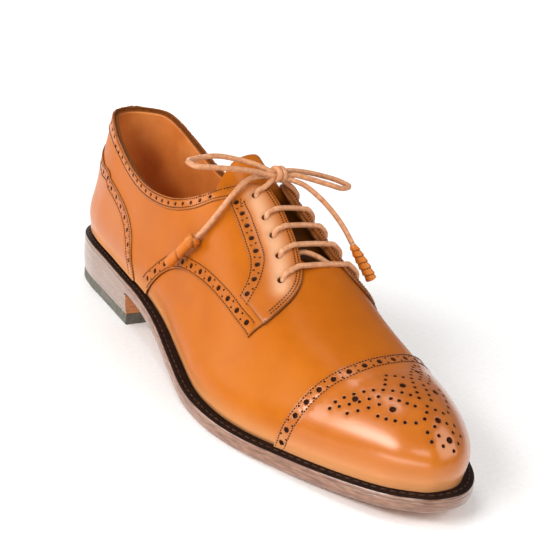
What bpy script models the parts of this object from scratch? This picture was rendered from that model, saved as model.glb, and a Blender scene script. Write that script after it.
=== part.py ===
# Cap-toe derby shoe, right foot: stitched leather sole, hollow lasted upper, overlays and laces.
# Sizes below are in millimetres, measured from the heel back (x), the heel's middle line (y, inner
# side +y) and the floor (z). Objects are placed in metres, with the origin under the middle of the sole.
import math

import bmesh
import bpy
import numpy as np
from mathutils import Vector

MM = 0.001
LENGTH = 304.0
SOLE_THICK = 4.7
WELT_THICK = 2.1
INSOLE_RISE = 1.5
SEAT_GAP = 0.3
HEEL_LENGTH = 88.0
HEEL_FRONT_RISE = 17.0
HEEL_BACK_RISE = 4.0
HEEL_TAPER = 1.6
LIFT_THICK = 6.0
TOE_SPRING = 7.0
FLAT_FROM = 186.0
FLAT_TO = 205.0
HEEL_SPINE = 40.0
TOE_SPINE = 256.0
WALL = 1.8
LEATHER = 1.1
LAYER_GAP = 0.5
FIRST_LAYER = LAYER_GAP
SECOND_LAYER = FIRST_LAYER + LEATHER + LAYER_GAP
TONGUE_THICK = 2.0
TONGUE_GAP = 1.1
TONGUE_SINK = 0.7
LACE_RADIUS = 1.3
LACE_LIFT = SECOND_LAYER + LEATHER + 2 * SEAT_GAP + LACE_RADIUS
KNOT_RISE = 1.0
INNER_EYELETS = 0.9
RIM_BACK = 0.8
THROAT_CLOSING = 7.0
WELT_WIDTH = 5.6
WELT_GAIN = 0.8
WELT_GAIN_FROM = 90.0
WELT_GAIN_OVER = 80.0
FOOT_BULGE = 0.075
BULGE_HEIGHT = 13.0
BULGE_SPREAD = 11.0
INNER = 1
OUTER = -1

# outsole: station, inner half width, outer half width
OUTLINE = [
    (0, 0, 0), (3.5, 14, 14.3), (14, 25.3, 25), (32, 31, 30.2), (55, 33.2, 32.6), (80, 32.5, 35.2),
    (104, 30, 37.5), (128, 29.5, 40.6), (152, 33, 45.8), (178, 41, 51.4), (203, 47.7, 53), (223, 49.5, 49.8),
    (243, 47.8, 43), (260, 42.6, 36.8), (276, 35.4, 30), (289, 27, 23), (298, 17.8, 14.6), (302.5, 9.8, 8),
    (304, 2, -2)]

# last: station, crest height, spine offset, side fullness, top fullness
LAST = [
    (0, 128, 0, 2.5, 2.3), (40, 128, 0, 2.5, 2.3), (80, 128, 0, 2.4, 2.2), (110, 118, 2, 2.3, 2.1),
    (140, 101, 5, 2.2, 2.0), (170, 84.5, 6.5, 2.1, 1.95), (200, 68.8, 6.5, 2.1, 1.95), (228, 55, 5.5, 2.2, 2.0),
    (256, 46.3, 4, 2.3, 2.1), (304, 42, 3, 2.4, 2.2)]

# topline: station, height above the floor, width of the collar band below it
TOPLINE = [
    (0, 98, 9), (14, 97, 8.5), (26, 93.5, 7.5), (41, 87.4, 6.2), (54, 82, 5.6), (70, 77.6, 5.4), (84, 75.6, 5.2),
    (98, 75.7, 5.2), (112, 77.6, 5.4), (122, 80.6, 5.6), (131, 84.8, 5.8), (139, 90.5, 6), (145, 93.6, 6),
    (148, 94.8, 6)]

# facing edge: station, distance from the spine, from the top of the throat to the tip of the tab
FACING = [(148, 7.5), (150, 6), (152, 5.4), (160, 5.7), (171, 7), (181, 8.3), (190, 10.2), (195.5, 13.6)]
BACK_SEAM = 0.004
FEATHER_LIFT = 0.015
QUARTER_ROWS = 9
QUARTER_REAR = 101.0
TAB_BULGE = 5.5
TAB_COLUMNS = 0.12

# quarter: station of the lower edge, its height (0 is the feather), station of the upper edge
QUARTER_FRONT = [
    (104, 0, 108), (107, 27.5, 113), (110, 31.5, 118), (113.5, 35.5, 122), (118.5, 41.3, 128), (124.5, 45.7, 134),
    (132, 49.3, 140), (140.5, 50.8, 146), (149.5, 51.6, 149.5), (157, 51.6, 156), (165, 50.9, 164),
    (173, 50, 172), (180, 48.7, 179), (188.5, 46.5, 186), (195, 44.8, 191.5), (200, 43.6, 195.5)]

# eyestay: rear station, rear height, front station, front distance from the spine
EYESTAY = [
    (148.5, 88.2, 151.5, 5.5), (152, 84.8, 156, 5.6), (157.5, 81, 162, 6), (163, 77.5, 168, 6.7),
    (168.5, 74, 174, 7.4), (173.5, 70.6, 180, 8.2), (177.5, 67.5, 186, 9.4), (180.5, 64.4, 191, 10.8),
    (182.3, 61.6, 196, 14), (183.5, 59.4, 200, 18), (184.8, 57.8, 203, 23), (186.5, 56.8, 204, 28.5),
    (189, 55.6, 203.6, 33)]

# counter: station of the lower edge, station of the upper edge, height of the upper edge
COUNTER = [(0, 0, 84), (4, 4, 81.5), (12, 12, 75.5), (22, 22, 70.5), (36, 36, 67), (50, 50, 62.4), (62, 61, 57.6),
           (74, 69.5, 52.8), (82, 76, 48), (86.5, 80, 44)]

COLLAR_FRONT = 144.0

# cap: station of its rear edge at the feather and at the crest
CAP_FEATHER = 237.0
CAP_CREST = 244.6

# tongue: station, share of the climb that it covers on each side of the crest
TONGUE = [(129, 0.2), (131, 0.34), (135, 0.45), (141, 0.5), (150, 0.51), (165, 0.5), (182, 0.49), (198, 0.48),
          (208, 0.47)]

# eyelets: station, distance from the spine
EYELETS = [(153.3, 14.4), (165.2, 16), (174.7, 17.3), (184.8, 19.7), (195.3, 24.2)]

# laces: routes by hand of the bow's two loops, both ends and their tassels
LOOP_OUTER = [(150.6, -0.7, 102.7), (147, -7.1, 105.1), (143, -13.2, 106.1), (140, -25.5, 107.5), (140, -35.1, 106.5),
              (143, -41.6, 105.9), (147, -40.7, 105.4), (150, -32.3, 105.1), (151.5, -18.3, 104.2), (151, -5, 102)]
LOOP_INNER = [(151, 9.6, 102.8), (151.5, 20.1, 101.7), (153.5, 28.9, 100.2), (157, 37.7, 98.1), (161, 40.5, 96.9),
              (163.5, 35.5, 96.6), (162, 26.5, 98.6), (158.5, 18.4, 100.4), (154.6, 11.4, 101.6)]
END_OUTER = [(149.2, -2.5, 99.8), (148.6, -8.2, 99), (148.6, -14, 96), (149.4, -19.3, 90.9), (149.2, -23.9, 85),
             (147.8, -27.5, 78.5), (145.9, -30.6, 72.8)]
END_INNER = [(155.5, 8.5, 99.6), (158.5, 14, 98), (163, 19.7, 94), (168.6, 25.4, 88), (175, 30.9, 79.7),
             (180, 32.3, 74.7)]
TIP_OUTER = [(144.9, -33.6, 69.2), (142, -36.1, 64.9), (137, -37.6, 58.1), (131.9, -38.8, 52)]
TIP_INNER = [(180.5, 32.5, 74), (183.2, 34.7, 69.6), (187, 37.9, 63.6), (190, 40.3, 58.9)]
TIP_RADIUS = 2.7

MATERIALS = {
    "calf": ((0.66, 0.21, 0.022), 0.32),
    "lining": ((0.60, 0.17, 0.02), 0.55),
    "welt": ((0.019, 0.008, 0.006), 0.4),
    "sole": ((0.17, 0.075, 0.045), 0.35),
    "heel": ((0.11, 0.045, 0.03), 0.35),
    "rubber": ((0.035, 0.034, 0.03), 0.7),
    "lace": ((0.45, 0.19, 0.075), 0.6),
    "tassel": ((0.55, 0.2, 0.05), 0.45)}


def curve(places, values):
    """Smooth curve through a column of a table."""
    places = np.asarray(places, float)
    values = np.asarray(values, float)
    step = np.diff(places)
    slope = np.diff(values) / step
    inner = (slope[:-1] * step[1:] + slope[1:] * step[:-1]) / (step[1:] + step[:-1])
    tangent = np.concatenate([slope[:1], inner, slope[-1:]])

    def value(place):
        place = np.clip(place, places[0], places[-1])
        i = np.clip(np.searchsorted(places, place) - 1, 0, len(places) - 2)
        h = step[i]
        s = (place - places[i]) / h
        rise = (1 + 2 * s) * (1 - s) ** 2 * values[i] + s * s * (3 - 2 * s) * values[i + 1]
        return rise + h * (s * (1 - s) ** 2 * tangent[i] + s * s * (s - 1) * tangent[i + 1])

    return value


def column(table, index):
    rows = np.array(table, float)
    return curve(rows[:, 0], rows[:, index])


def angle_of(station):
    """Place of a station on the round outline: 0 at the heel back, pi at the toe tip."""
    return np.arccos(np.clip(1 - 2 * np.asarray(station, float) / LENGTH, -1, 1))


OUTLINE_ANGLES = [float(angle_of(row[0])) for row in OUTLINE]
inner_width = curve(OUTLINE_ANGLES, [row[1] for row in OUTLINE])
outer_width = curve(OUTLINE_ANGLES, [row[2] for row in OUTLINE])
crest_height = column(LAST, 1)
spine_offset = column(LAST, 2)
side_fullness = column(LAST, 3)
top_fullness = column(LAST, 4)
topline_height = column(TOPLINE, 1)
collar_width = column(TOPLINE, 2)
facing_gap = column(FACING, 1)


def sole_bottom(station):
    """Underside of the outsole: heel seat, arch, flat tread and toe spring."""
    spring = TOE_SPRING * np.clip((station - FLAT_TO) / (LENGTH - FLAT_TO), 0, 1) ** 1.9
    arch = np.clip((FLAT_FROM - station) / (FLAT_FROM - HEEL_LENGTH), 0, 1)
    waist = HEEL_FRONT_RISE * (arch * arch * (3 - 2 * arch)) ** 0.9
    seat = HEEL_BACK_RISE * np.clip((HEEL_LENGTH - station) / HEEL_LENGTH, 0, 1)
    return spring + waist + seat


def welt_top(station):
    return sole_bottom(station) + SOLE_THICK + SEAT_GAP + WELT_THICK


def welt_width(station):
    return WELT_WIDTH + WELT_GAIN * np.clip((station - WELT_GAIN_FROM) / WELT_GAIN_OVER, 0, 1)


def outline(side, angle):
    """Plan point of the outsole's edge."""
    station = LENGTH / 2 * (1 - np.cos(angle))
    width = np.where(side > 0, inner_width(angle), -outer_width(angle))
    return np.stack([station, width], -1)


def outline_inset(side, angle, distance):
    """Plan point a distance inside the outsole's edge."""
    angle, distance = np.broadcast_arrays(np.asarray(angle, float), np.asarray(distance, float))
    step = 0.004
    ahead = outline(side, np.clip(angle + step, 0, math.pi))
    behind = outline(side, np.clip(angle - step, 0, math.pi))
    run = ahead - behind
    ends = (angle < step) | (angle > math.pi - step)
    run = np.where(ends[..., None], np.stack([0 * angle, np.where(angle < 1, side, -side)], -1), run)
    run = run / np.linalg.norm(run, axis=-1, keepdims=True)
    inward = np.stack([run[..., 1], -run[..., 0]], -1) * np.asarray(side)[..., None]
    return outline(side, angle) + inward * distance[..., None]


def section(station):
    """Spine point, feather height and rise of one section of the last."""
    station = np.asarray(station, float)
    middle = np.clip(station, HEEL_SPINE, TOE_SPINE)
    spine = np.stack([middle, spine_offset(middle)], -1)
    foot = welt_top(station) + SEAT_GAP
    return spine, foot, crest_height(middle) - foot


def last_point(side, station, climb, grow):
    """Point of the last: climb runs from 0 at the feather to pi/2 at the crest, grow is outward."""
    side, station, climb = np.broadcast_arrays(np.asarray(side, float), np.asarray(station, float), climb)
    spine, foot, rise = section(station)
    feather = outline_inset(side, angle_of(station), welt_width(station) - grow)
    across = np.clip(np.cos(climb), 0, 1) ** (2 / side_fullness(station))
    up = np.sin(climb) ** (2 / top_fullness(station))
    height = up * rise
    peak = np.exp(-((height - BULGE_HEIGHT) / BULGE_SPREAD) ** 2)
    start = np.exp(-(BULGE_HEIGHT / BULGE_SPREAD) ** 2 - height / BULGE_HEIGHT)
    bulge = 1 + FOOT_BULGE * (peak - start)
    plan = spine + (across * bulge)[..., None] * (feather - spine)
    level = foot + up * (rise + grow)
    return np.concatenate([plan, level[..., None]], -1)


def climb_to_height(station, height):
    """Climb at which a section reaches a height above the floor."""
    spine, foot, rise = section(station)
    share = np.clip((height - foot) / rise, 0, 1)
    return np.arcsin(share ** (top_fullness(station) / 2))


def climb_to_gap(side, station, gap):
    """Climb at which a section is a distance from its spine."""
    spine, foot, rise = section(station)
    feather = outline_inset(side, angle_of(station), welt_width(station))
    reach = np.linalg.norm(feather - spine, axis=-1)
    return np.arccos(np.clip(gap / reach, 0, 1) ** (side_fullness(station) / 2))


def facing_climb(station, gap):
    """Climb of a point on either facing, by its distance from the spine on the outer side."""
    return climb_to_gap(OUTER, station, gap)


def rim_climb(station, back_off=0.0):
    """Upper edge of the quarters: topline, then the facing down to the tab."""
    station = np.asarray(station, float)
    topline = climb_to_height(station, topline_height(station) - back_off)
    facing = facing_climb(station, facing_gap(station) + back_off)
    return np.where(station < FACING[0][0], topline, facing)


def loop_points(distance, level, stations):
    """Closed loop: heel back, outer side, toe tip, inner side."""
    angles = angle_of(stations)
    outer = outline_inset(np.full(len(angles), OUTER), angles, distance)
    inner = outline_inset(np.full(len(angles), INNER), angles, distance)
    plan = np.vstack([outer, inner[-2:0:-1] if stations[-1] >= LENGTH else inner[:0:-1]])
    place = np.concatenate([stations, stations[-2:0:-1] if stations[-1] >= LENGTH else stations[:0:-1]])
    return np.column_stack([plan, level(place)])


def even_stations(count, first=0.0, last=LENGTH):
    angles = np.linspace(angle_of(first), angle_of(last), count)
    return LENGTH / 2 * (1 - np.cos(angles))


SOLE_STATIONS = np.concatenate([
    even_stations(19, 0, 160), [FLAT_FROM - 13, FLAT_FROM, (FLAT_FROM + FLAT_TO) / 2, FLAT_TO],
    even_stations(17, FLAT_TO + 8, LENGTH)])
HEEL_STATIONS = even_stations(13, 0, HEEL_LENGTH)
EDGE = loop_points(0.0, sole_bottom, SOLE_STATIONS)
ORIGIN = np.array([LENGTH / 2, (EDGE[:, 1].max() + EDGE[:, 1].min()) / 2, 0.0])


def leather_look(name):
    colour, roughness = MATERIALS[name]
    material = bpy.data.materials.get(name) or bpy.data.materials.new(name)
    material.use_nodes = True
    shader = material.node_tree.nodes["Principled BSDF"]
    shader.inputs["Base Color"].default_value = (*colour, 1)
    shader.inputs["Roughness"].default_value = roughness
    shader.inputs["Metallic"].default_value = 0
    return material


def finish(name, mesh_builder, look):
    """Closed bmesh made into a named object with its own material."""
    bmesh.ops.recalc_face_normals(mesh_builder, faces=mesh_builder.faces)
    mesh = bpy.data.meshes.new(name)
    mesh_builder.to_mesh(mesh)
    mesh_builder.free()
    mesh.shade_smooth()
    mesh.set_sharp_from_angle(angle=math.radians(35))
    piece = bpy.data.objects.new(name, mesh)
    bpy.context.scene.collection.objects.link(piece)
    mesh.materials.append(leather_look(look))
    return piece


def place(point):
    return Vector((np.asarray(point, float) - ORIGIN) * MM)


def shell(name, outside, inside, faces, look):
    """Wall between two sheets that share their faces, closed along every free edge."""
    keys = {}
    weld = []
    for index, point in enumerate(outside):
        key = tuple(np.round(point, 3))
        weld.append(keys.setdefault(key, index))
    builder = bmesh.new()
    front = {i: builder.verts.new(place(outside[i])) for i in sorted(set(weld))}
    back = {i: builder.verts.new(place(inside[i])) for i in sorted(set(weld))}
    edges = {}
    for face in faces:
        corners = []
        for index in face:
            if weld[index] not in corners:
                corners.append(weld[index])
        if len(corners) < 3:
            continue
        builder.faces.new([front[i] for i in corners])
        builder.faces.new([back[i] for i in reversed(corners)])
        for a, b in zip(corners, corners[1:] + corners[:1]):
            if (b, a) in edges:
                del edges[(b, a)]
            else:
                edges[(a, b)] = True
    for a, b in edges:
        builder.faces.new([front[b], front[a], back[a], back[b]])
    return finish(name, builder, look)


def grid_faces(rows, columns, closed):
    faces = []
    for r in range(rows - 1):
        for c in range(columns if closed else columns - 1):
            n = (c + 1) % columns
            faces.append((r * columns + c, r * columns + n, (r + 1) * columns + n, (r + 1) * columns + c))
    return faces


def overlay(name, side, station, climb, low, high, look):
    """Leather piece cut between two larger forms of the last, on a grid of stations and climbs."""
    rows, columns = station.shape
    outside = last_point(side, station, climb, high).reshape(-1, 3)
    inside = last_point(side, station, climb, low).reshape(-1, 3)
    return shell(name, outside, inside, grid_faces(rows, columns, False), look)


def prism(name, levels, look):
    """Solid through closed loops of a sole piece, capped by rungs from the outer to the inner side."""
    builder = bmesh.new()
    rings = [[builder.verts.new(place(point)) for point in level] for level in levels]
    count = len(rings[0])
    for low, high in zip(rings, rings[1:]):
        for i in range(count):
            n = (i + 1) % count
            builder.faces.new([low[i], low[n], high[n], high[i]])
    for ring in (rings[0], rings[-1]):
        for i in range(count // 2 + 1):
            a, b = i, (count - i) % count
            c, d = i + 1, count - i - 1
            if c > d:
                break
            corners = [ring[a], ring[c], ring[d], ring[b]]
            unique = [v for k, v in enumerate(corners) if v not in corners[:k]]
            if len(unique) > 2:
                builder.faces.new(unique)
    return finish(name, builder, look)


def tube(name, route, radius, look, bevel_resolution=2):
    """Round cord along a smooth curve through its route's points."""
    points = np.array(route, float)
    run = np.concatenate([[0], np.cumsum(np.linalg.norm(np.diff(points, axis=0), axis=1))])
    count = max(4, int(run[-1] / (5 * radius)) + 1)
    along = np.linspace(0, run[-1], count)
    smooth = np.stack([curve(run, points[:, k])(along) for k in range(3)], -1)
    data = bpy.data.curves.new(name, "CURVE")
    data.dimensions = "3D"
    data.bevel_depth = radius * MM
    data.bevel_resolution = bevel_resolution
    data.use_fill_caps = True
    line = data.splines.new("POLY")
    line.points.add(count - 1)
    for target, point in zip(line.points, smooth):
        target.co = (*place(point), 1)
    piece = bpy.data.objects.new(name, data)
    bpy.context.scene.collection.objects.link(piece)
    data.materials.append(leather_look(look))
    return piece


def make_sole():
    def level(rise):
        return lambda station: sole_bottom(station) + rise

    steps = [(1.4, 0.0), (0.3, 1.0), (0.0, 2.2), (0.0, SOLE_THICK - 1.0), (0.6, SOLE_THICK)]
    prism("outsole", [loop_points(inset, level(rise), SOLE_STATIONS) for inset, rise in steps], "sole")

    low = SOLE_THICK + SEAT_GAP
    margin = welt_width(150.0) + WALL + 0.1
    profile = [(0.4, low), (0.4, low + WELT_THICK - 0.9), (1.2, low + WELT_THICK),
               (margin, low + WELT_THICK), (margin, low)]
    rings = np.array([loop_points(inset, level(rise), SOLE_STATIONS) for inset, rise in profile])
    builder = bmesh.new()
    verts = [[builder.verts.new(place(point)) for point in ring] for ring in rings]
    count = len(verts[0])
    for p in range(len(verts)):
        q = (p + 1) % len(verts)
        for i in range(count):
            n = (i + 1) % count
            builder.faces.new([verts[p][i], verts[p][n], verts[q][n], verts[q][i]])
    finish("welt", builder, "welt")

    inset = margin + SEAT_GAP + 0.1
    tops = [(inset, low), (inset, low + WELT_THICK + INSOLE_RISE)]
    prism("insole", [loop_points(d, level(rise), SOLE_STATIONS) for d, rise in tops], "lining")


def make_heel():
    def stack_level(share):
        low = LIFT_THICK + SEAT_GAP
        return lambda station: low + share * (sole_bottom(station) - SEAT_GAP - low)

    stack = [(HEEL_TAPER, 0.0), (HEEL_TAPER * 0.4, 0.5), (0.5, 1.0)]
    prism("heel_stack", [loop_points(d, stack_level(s), HEEL_STATIONS) for d, s in stack], "heel")
    lift = [(HEEL_TAPER + 0.9, 0.0), (HEEL_TAPER + 0.2, 0.8), (HEEL_TAPER, LIFT_THICK)]
    prism("heel_top_lift", [loop_points(d, lambda x, z=z: z + 0 * x, HEEL_STATIONS) for d, z in lift], "rubber")


UPPER_STATIONS = np.concatenate([
    even_stations(9, 0, HEEL_SPINE), np.arange(50, 141, 10), [145.9, 149.5, 153, 160, 168, 176, 183, 189, 193, 196],
    np.arange(203, TOE_SPINE, 8), even_stations(10, TOE_SPINE, LENGTH)])
THROAT_END = 196.0
UPPER_ROWS = 9


def make_upper():
    stations = np.concatenate([UPPER_STATIONS, UPPER_STATIONS[-2:0:-1]])
    side = np.concatenate([np.full(len(UPPER_STATIONS), OUTER), np.full(len(UPPER_STATIONS) - 2, INNER)])
    top = rim_climb(stations, RIM_BACK)
    closing = np.sqrt(np.clip((THROAT_END - stations) / THROAT_CLOSING, 0, 1))
    narrow = facing_climb(stations, (facing_gap(stations) + RIM_BACK) * closing)
    top = np.where(stations > THROAT_END - THROAT_CLOSING, narrow, top)
    top = np.where(stations >= THROAT_END, math.pi / 2, top)
    climb = np.linspace(0, 1, UPPER_ROWS)[:, None] * top[None, :]
    station = np.broadcast_to(stations, climb.shape)
    sides = np.broadcast_to(side, climb.shape)
    outside = last_point(sides, station, climb, 0.0).reshape(-1, 3)
    inside = last_point(sides, station, climb, -WALL).reshape(-1, 3)
    shell("upper", outside, inside, grid_faces(UPPER_ROWS, len(stations), True), "calf")


def make_cap():
    rows = UPPER_ROWS
    fan = even_stations(10, TOE_SPINE, LENGTH)
    climb_rows = np.linspace(0, math.pi / 2, rows)
    climb_rows[0] = FEATHER_LIFT
    seam = CAP_FEATHER + (CAP_CREST - CAP_FEATHER) * np.sin(climb_rows) ** 1.5
    share = np.array([0.0, 0.5])
    back = seam[:, None] + share[None, :] * (TOE_SPINE - seam[:, None])
    half = np.hstack([back, np.broadcast_to(fan, (rows, len(fan)))])
    station = np.hstack([half, half[:, -2::-1]])
    columns = half.shape[1]
    side = np.concatenate([np.full(columns, OUTER), np.full(columns - 1, INNER)])
    climb = np.broadcast_to(climb_rows[:, None], station.shape)
    overlay("toe_cap", np.broadcast_to(side, station.shape), station, climb,
            FIRST_LAYER, FIRST_LAYER + LEATHER, "calf")


def make_quarter(name, side):
    rear = [(float(s), 0.0, float(s)) for s in UPPER_STATIONS if s < QUARTER_REAR]
    table = np.array([(BACK_SEAM, 0.0, BACK_SEAM)] + rear[1:] + QUARTER_FRONT)
    low = climb_to_height(table[:, 0], table[:, 1])
    low = np.maximum(low, FEATHER_LIFT)
    top = rim_climb(table[:, 2])
    r = np.linspace(0, 1, QUARTER_ROWS)[:, None]
    along = np.linspace(0, 1, len(table))
    swell = TAB_BULGE * np.clip((along - 1 + TAB_COLUMNS) / TAB_COLUMNS, 0, 1) ** 2
    station = table[:, 0] + r * (table[:, 2] - table[:, 0]) + swell * 4 * r * (1 - r)
    climb = low + r * (top - low)
    overlay(name, np.full(station.shape, side), station, climb, FIRST_LAYER, FIRST_LAYER + LEATHER, "calf")


def make_eyestay(name, side):
    table = np.array(EYESTAY)
    rear = climb_to_height(table[:, 0], table[:, 1])
    front = facing_climb(table[:, 2], table[:, 3])
    r = np.linspace(0, 1, 6)[:, None]
    station = table[:, 0] + r * (table[:, 2] - table[:, 0])
    climb = rear + r * (front - rear)
    overlay(name, np.full(station.shape, side), station, climb, SECOND_LAYER, SECOND_LAYER + LEATHER, "calf")


def both_sides(half):
    """Grid of the outer side carried round the heel back to the inner side."""
    return np.hstack([half[:, :0:-1], half])


def make_counter():
    low = np.append(UPPER_STATIONS[UPPER_STATIONS < COUNTER[-1][0]], COUNTER[-1][0])
    high = column(COUNTER, 1)(low)
    top = climb_to_height(high, column(COUNTER, 2)(low))
    r = np.linspace(0, 1, 8)[:, None]
    station = both_sides(low + r * (high - low))
    climb = both_sides(FEATHER_LIFT + r * (top - FEATHER_LIFT))
    side = np.concatenate([np.full(len(low) - 1, OUTER), np.full(len(low), INNER)])
    overlay("heel_counter", np.broadcast_to(side, station.shape), station, climb,
            SECOND_LAYER, SECOND_LAYER + LEATHER, "calf")


def make_collar():
    front = [row[2] for row in QUARTER_FRONT if row[2] < COLLAR_FRONT]
    stations = np.concatenate([UPPER_STATIONS[UPPER_STATIONS < QUARTER_REAR], front, [COLLAR_FRONT]])
    top = rim_climb(stations)
    low = climb_to_height(stations, topline_height(stations) - collar_width(stations))
    r = np.array([[0.0], [1.0]])
    climb = both_sides(low + r * (top - low))
    station = both_sides(np.broadcast_to(stations, climb.shape[:1] + stations.shape))
    side = np.concatenate([np.full(len(stations) - 1, OUTER), np.full(len(stations), INNER)])
    overlay("collar_band", np.broadcast_to(side, station.shape), station, climb,
            SECOND_LAYER, SECOND_LAYER + LEATHER, "calf")


def make_tongue():
    last = TONGUE[-1][0]
    tip = [row[0] for row in TONGUE[:3]]
    middle = UPPER_STATIONS[(UPPER_STATIONS > tip[-1] + 1) & (UPPER_STATIONS < last)]
    stations = np.concatenate([tip, middle, [last]])
    across = np.linspace(-1, 1, 11)[:, None]
    climb = math.pi / 2 * (1 - np.abs(across) * column(TONGUE, 1)(stations))
    station = np.broadcast_to(stations, climb.shape)
    side = np.broadcast_to(np.where(across > 0, INNER, OUTER), climb.shape)
    high = -WALL - TONGUE_GAP - TONGUE_SINK * np.clip((station - 150) / 45, 0, 1)
    overlay("tongue", side, station, climb, high - TONGUE_THICK, high, "calf")


def make_laces():
    across = np.linspace(-1, 1, 9)
    side = np.where(across > 0, INNER, OUTER)
    for number, (station, reach) in enumerate(EYELETS):
        stations = np.full(across.shape, station)
        last = facing_climb(stations, reach) * np.where(across > 0, INNER_EYELETS, 1.0)
        climb = math.pi / 2 - np.abs(across) * (math.pi / 2 - last)
        rise = 0.0 if number else KNOT_RISE * (1 - across ** 2)
        route = last_point(side, stations, climb, LACE_LIFT + rise)
        tube("lace_bar_%d" % number if number else "lace_knot", route, LACE_RADIUS, "lace")
    cords = {"lace_loop_outer": LOOP_OUTER, "lace_loop_inner": LOOP_INNER,
             "lace_end_outer": END_OUTER, "lace_end_inner": END_INNER}
    for name, route in cords.items():
        tube(name, route, LACE_RADIUS, "lace")
    tube("lace_tip_outer", TIP_OUTER, TIP_RADIUS, "tassel")
    tube("lace_tip_inner", TIP_INNER, TIP_RADIUS, "tassel")


def main():
    for item in list(bpy.data.objects):
        bpy.data.objects.remove(item)
    make_sole()
    make_heel()
    make_upper()
    make_cap()
    make_quarter("quarter_outer", OUTER)
    make_quarter("quarter_inner", INNER)
    make_eyestay("eyestay_outer", OUTER)
    make_eyestay("eyestay_inner", INNER)
    make_counter()
    make_collar()
    make_tongue()
    make_laces()


main()
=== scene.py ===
import math

import bmesh
import bpy
import numpy as np
from mathutils import Matrix, Vector
from mathutils.geometry import delaunay_2d_cdt


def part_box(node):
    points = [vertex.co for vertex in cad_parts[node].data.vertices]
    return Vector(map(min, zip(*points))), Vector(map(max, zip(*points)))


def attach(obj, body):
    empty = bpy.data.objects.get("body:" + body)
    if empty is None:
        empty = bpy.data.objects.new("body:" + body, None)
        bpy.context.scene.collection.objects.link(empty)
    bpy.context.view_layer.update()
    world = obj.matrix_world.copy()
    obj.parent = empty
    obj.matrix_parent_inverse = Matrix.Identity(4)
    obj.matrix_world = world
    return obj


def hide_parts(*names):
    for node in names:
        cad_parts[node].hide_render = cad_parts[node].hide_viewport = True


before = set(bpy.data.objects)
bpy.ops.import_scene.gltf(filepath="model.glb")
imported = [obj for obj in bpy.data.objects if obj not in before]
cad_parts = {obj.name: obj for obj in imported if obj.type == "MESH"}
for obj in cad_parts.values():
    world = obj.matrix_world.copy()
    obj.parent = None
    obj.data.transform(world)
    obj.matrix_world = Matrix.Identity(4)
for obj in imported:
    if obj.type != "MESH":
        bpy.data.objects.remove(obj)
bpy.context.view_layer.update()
inner = 1
outer = -1
mm = 0.001

# the last: sizes in mm from the heel back (x), the heel's middle line (y) and the floor (z)
last = {
    "length": 304.0, "soleThick": 4.7, "weltThick": 2.1, "seatGap": 0.3, "heelLength": 88.0,
    "heelFront": 17.0, "heelBack": 4.0, "toeSpring": 7.0, "flatFrom": 186.0, "flatTo": 205.0,
    "heelSpine": 40.0, "toeSpine": 256.0, "weltWidth": 5.6, "weltGain": 0.8, "weltFrom": 90.0,
    "weltOver": 80.0, "bulge": 0.075, "bulgeHeight": 13.0, "bulgeSpread": 11.0, "springPower": 1.9,
    "archPower": 0.9,
    # station, inner half width, outer half width
    "outline": [
        (0, 0, 0), (3.5, 14, 14.3), (14, 25.3, 25), (32, 31, 30.2), (55, 33.2, 32.6), (80, 32.5, 35.2),
        (104, 30, 37.5), (128, 29.5, 40.6), (152, 33, 45.8), (178, 41, 51.4), (203, 47.7, 53),
        (223, 49.5, 49.8), (243, 47.8, 43), (260, 42.6, 36.8), (276, 35.4, 30), (289, 27, 23),
        (298, 17.8, 14.6), (302.5, 9.8, 8), (304, 2, -2)],
    # station, crest height, spine offset, side fullness, top fullness
    "form": [
        (0, 128, 0, 2.5, 2.3), (40, 128, 0, 2.5, 2.3), (80, 128, 0, 2.4, 2.2), (110, 118, 2, 2.3, 2.1),
        (140, 101, 5, 2.2, 2.0), (170, 84.5, 6.5, 2.1, 1.95), (200, 68.8, 6.5, 2.1, 1.95),
        (228, 55, 5.5, 2.2, 2.0), (256, 46.3, 4, 2.3, 2.1), (304, 42, 3, 2.4, 2.2)],
    # station, height, width of the band below it
    "topline": [
        (0, 98, 9), (14, 97, 8.5), (26, 93.5, 7.5), (41, 87.4, 6.2), (54, 82, 5.6), (70, 77.6, 5.4),
        (84, 75.6, 5.2), (98, 75.7, 5.2), (112, 77.6, 5.4), (122, 80.6, 5.6), (131, 84.8, 5.8),
        (139, 90.5, 6), (145, 93.6, 6), (148, 94.8, 6)],
    # station, distance from the spine
    "facing": [(148, 7.5), (150, 6.4), (153.4, 6.2), (162.7, 6), (173.3, 7.4), (181.7, 9), (190.4, 11.6),
               (197.3, 14.6)],
}


def unit(ways):
    return ways / np.linalg.norm(ways, axis=-1, keepdims=True)


def leftOf(run):
    return unit(np.stack([-run[..., 1], run[..., 0]], -1))


def runLength(points):
    return np.concatenate([[0], np.cumsum(np.linalg.norm(np.diff(points, axis=0), axis=1))])


def smoothCurve(places, values):
    places = np.asarray(places, float)
    values = np.asarray(values, float)
    step = np.diff(places)
    slope = np.diff(values) / step
    middle = (slope[:-1] * step[1:] + slope[1:] * step[:-1]) / (step[1:] + step[:-1])
    tangent = np.concatenate([slope[:1], middle, slope[-1:]])

    def value(place):
        place = np.clip(place, places[0], places[-1])
        i = np.clip(np.searchsorted(places, place) - 1, 0, len(places) - 2)
        h = step[i]
        s = (place - places[i]) / h
        rise = (1 + 2 * s) * (1 - s) ** 2 * values[i] + s * s * (3 - 2 * s) * values[i + 1]
        return rise + h * (s * (1 - s) ** 2 * tangent[i] + s * s * (s - 1) * tangent[i + 1])

    return value


def tableColumn(rows, index):
    rows = np.array(rows, float)
    return smoothCurve(rows[:, 0], rows[:, index])


def outlineAngle(station):
    return np.arccos(np.clip(1 - 2 * np.asarray(station, float) / last["length"], -1, 1))


def angleStations(count, first, end):
    angles = np.linspace(outlineAngle(first), outlineAngle(end), count)
    return last["length"] / 2 * (1 - np.cos(angles))


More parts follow.
